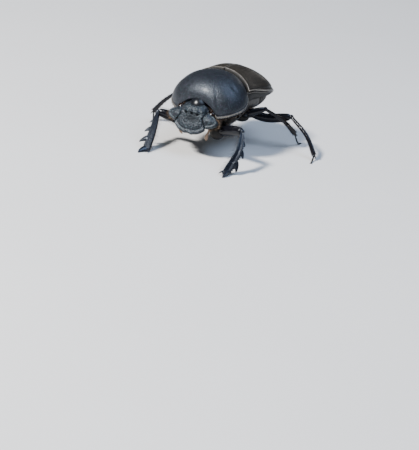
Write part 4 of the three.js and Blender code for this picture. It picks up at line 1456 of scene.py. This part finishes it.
# %% Golden bristles round the cheeks and the mouth
head_x, head_y = head_loop.T
cheek = (np.abs(head_x) > 4.6) & (head_y > -6.2) & (head_y < -3.2)
mouth = (np.abs(head_x) < 4.0) & (head_y < -6.0)
bristles = []
for step in np.flatnonzero(cheek):
    spot = head_loop[step]
    away = (spot - (0, HEAD_CENTRE_Y)) / np.hypot(*(spot - (0, HEAD_CENTRE_Y)))
    for _ in range(3):
        root = (*(spot * 0.985 + random.uniform(-0.08, 0.08, 2)), -0.22)
        way = (*(away + random.uniform(-0.3, 0.3, 2)), random.uniform(-0.8, -0.2))
        bristles.append((root, way, random.uniform(0.35, 0.75), (step / OUTLINE_STEPS, 0.8)))
for step in np.flatnonzero(mouth):
    for _ in range(2):
        root = (*(head_loop[step] * 0.86 + random.uniform(-0.25, 0.25, 2)), -0.5)
        way = (random.uniform(-0.2, 0.2), random.uniform(-0.8, -0.2), -1)
        bristles.append((root, way, random.uniform(0.5, 0.9), (step / OUTLINE_STEPS, 0.9)))
grow("face_bristles", long_bristle, HEAD, bristle_gold, "head_plate", bristles)

# %% Fringes on the thighs and shins
FRONT_COUNT, REAR_COUNT = 90, 34
FLOOR_CLEARANCE = 0.1


def fringe_angles(front_pair, thigh):
    """The angles round a limb at which its fringes stand."""
    if thigh:
        return (0, 180) if front_pair else (180,)
    return (180,) if front_pair else (0, 60, 120, 180, 240, 300)


def fringe(limb, angle, count, longest):
    """One fringe along a limb, without the bristles that would reach the floor."""
    for place in np.linspace(0.1, 0.95, count):
        degrees = (angle + random.uniform(-12, 12)) % 360
        root, out, along = limb.at(place, degrees)
        way = out + along * random.uniform(0.4, 0.9) + random.uniform(-0.2, 0.2, 3)
        size = random.uniform(0.35, 0.75) * longest
        if root[2] + way[2] * size * 2 >= FLOOR_CLEARANCE:
            yield root - out * 0.05, way, size, (degrees / 360, place)


for name, limb in limbs.items():
    if name.startswith("foot"):
        continue
    front_pair, thigh = "front" in name, name.startswith("thigh")
    count = FRONT_COUNT if front_pair else REAR_COUNT
    longest = 1.2 if front_pair and not thigh else 0.85
    bristles = []
    for angle in fringe_angles(front_pair, thigh):
        bristles += fringe(limb, angle, count, longest)
    model = long_bristle if front_pair else short_bristle
    grow(f"fringe_{name}", model, FLOOR, bristle_dark, "leg", bristles)


# %% A sparse coat underneath
COAT_COUNT = 420
DOWNWARD = -0.35

for name, sheet in (("hind_breast", hind_breast_sheet), ("breast", breast_sheet)):
    normals = normals_of(sheet)
    rows, columns = sheet.shape[:2]
    bristles = []
    while len(bristles) < COAT_COUNT:
        row, column = random.integers(4, rows - 4), random.integers(0, columns)
        if normals[row, column, 2] > DOWNWARD:
            continue
        way = normals[row, column] + random.uniform(-0.4, 0.4, 3) + (0, 0.4, 0)
        size = random.uniform(0.4, 0.8)
        bristles.append((sheet[row, column], way, size, (column / columns, row / rows)))
    grow(f"coat_{name}", short_bristle, TRUNK, bristle_dark, "underside", bristles)

for model in models:
    bpy.data.objects.remove(model)


# %% [markdown]
# ## The floor and the lamps
# The beetle stands on a plain pale floor. Polished black horn shows little of its own, and is seen
# mostly by what it mirrors. So the lamps are large and soft: a warm one on the upper left, a wide cool one
# above like a sky, and a weak one behind that draws the far edges.

# %% Lay the floor
floor = added(bpy.ops.mesh.primitive_plane_add, size=6)
floor.name = "floor"
pale = Finish("floor_paint")
cloud = pale.grain(60)
floor.data.materials.append(pale.done(
    Base_Color=pale.blend(cloud, (0.68, 0.67, 0.66), (0.72, 0.71, 0.7)),
    Roughness=0.75 + cloud * 0.1,
))

# %% Hang the lamps
# Each lamp: the way to it, across, up and toward the camera; its distance, size, power and tint.
LAMPS = {
    "key": ((-0.5, 0.62, 0.6), 0.6, 0.09, 8.5, (1.0, 0.98, 0.95)),
    "sky": ((0.5, 0.75, 0.45), 0.7, 0.5, 4.2, (0.56, 0.72, 1.0)),
    "back": ((0.5, 0.62, -1.0), 0.7, 0.08, 0.11, (1.0, 0.97, 0.92)),
}
ROOM_TINT, ROOM_STRENGTH = (0.72, 0.8, 0.9, 1), 0.16

target = FLOOR @ Vector((0, 0, 10))
for name, (toward, distance, size, power, tint) in LAMPS.items():
    way = (right * toward[0] + up * toward[1] + back * toward[2]).normalized()
    bpy.ops.object.light_add(type="AREA", location=target + way * distance)
    light = bpy.context.object
    light.name = name
    light.data.size = size
    light.data.energy = power
    light.data.color = tint
    light.rotation_euler = way.to_track_quat("Z", "Y").to_euler()

world = bpy.data.worlds.new("room")
bpy.context.scene.world = world
world.use_nodes = True
room = world.node_tree.nodes["Background"].inputs
room["Color"].default_value = ROOM_TINT
room["Strength"].default_value = ROOM_STRENGTH
print(len(LAMPS), "lamps")
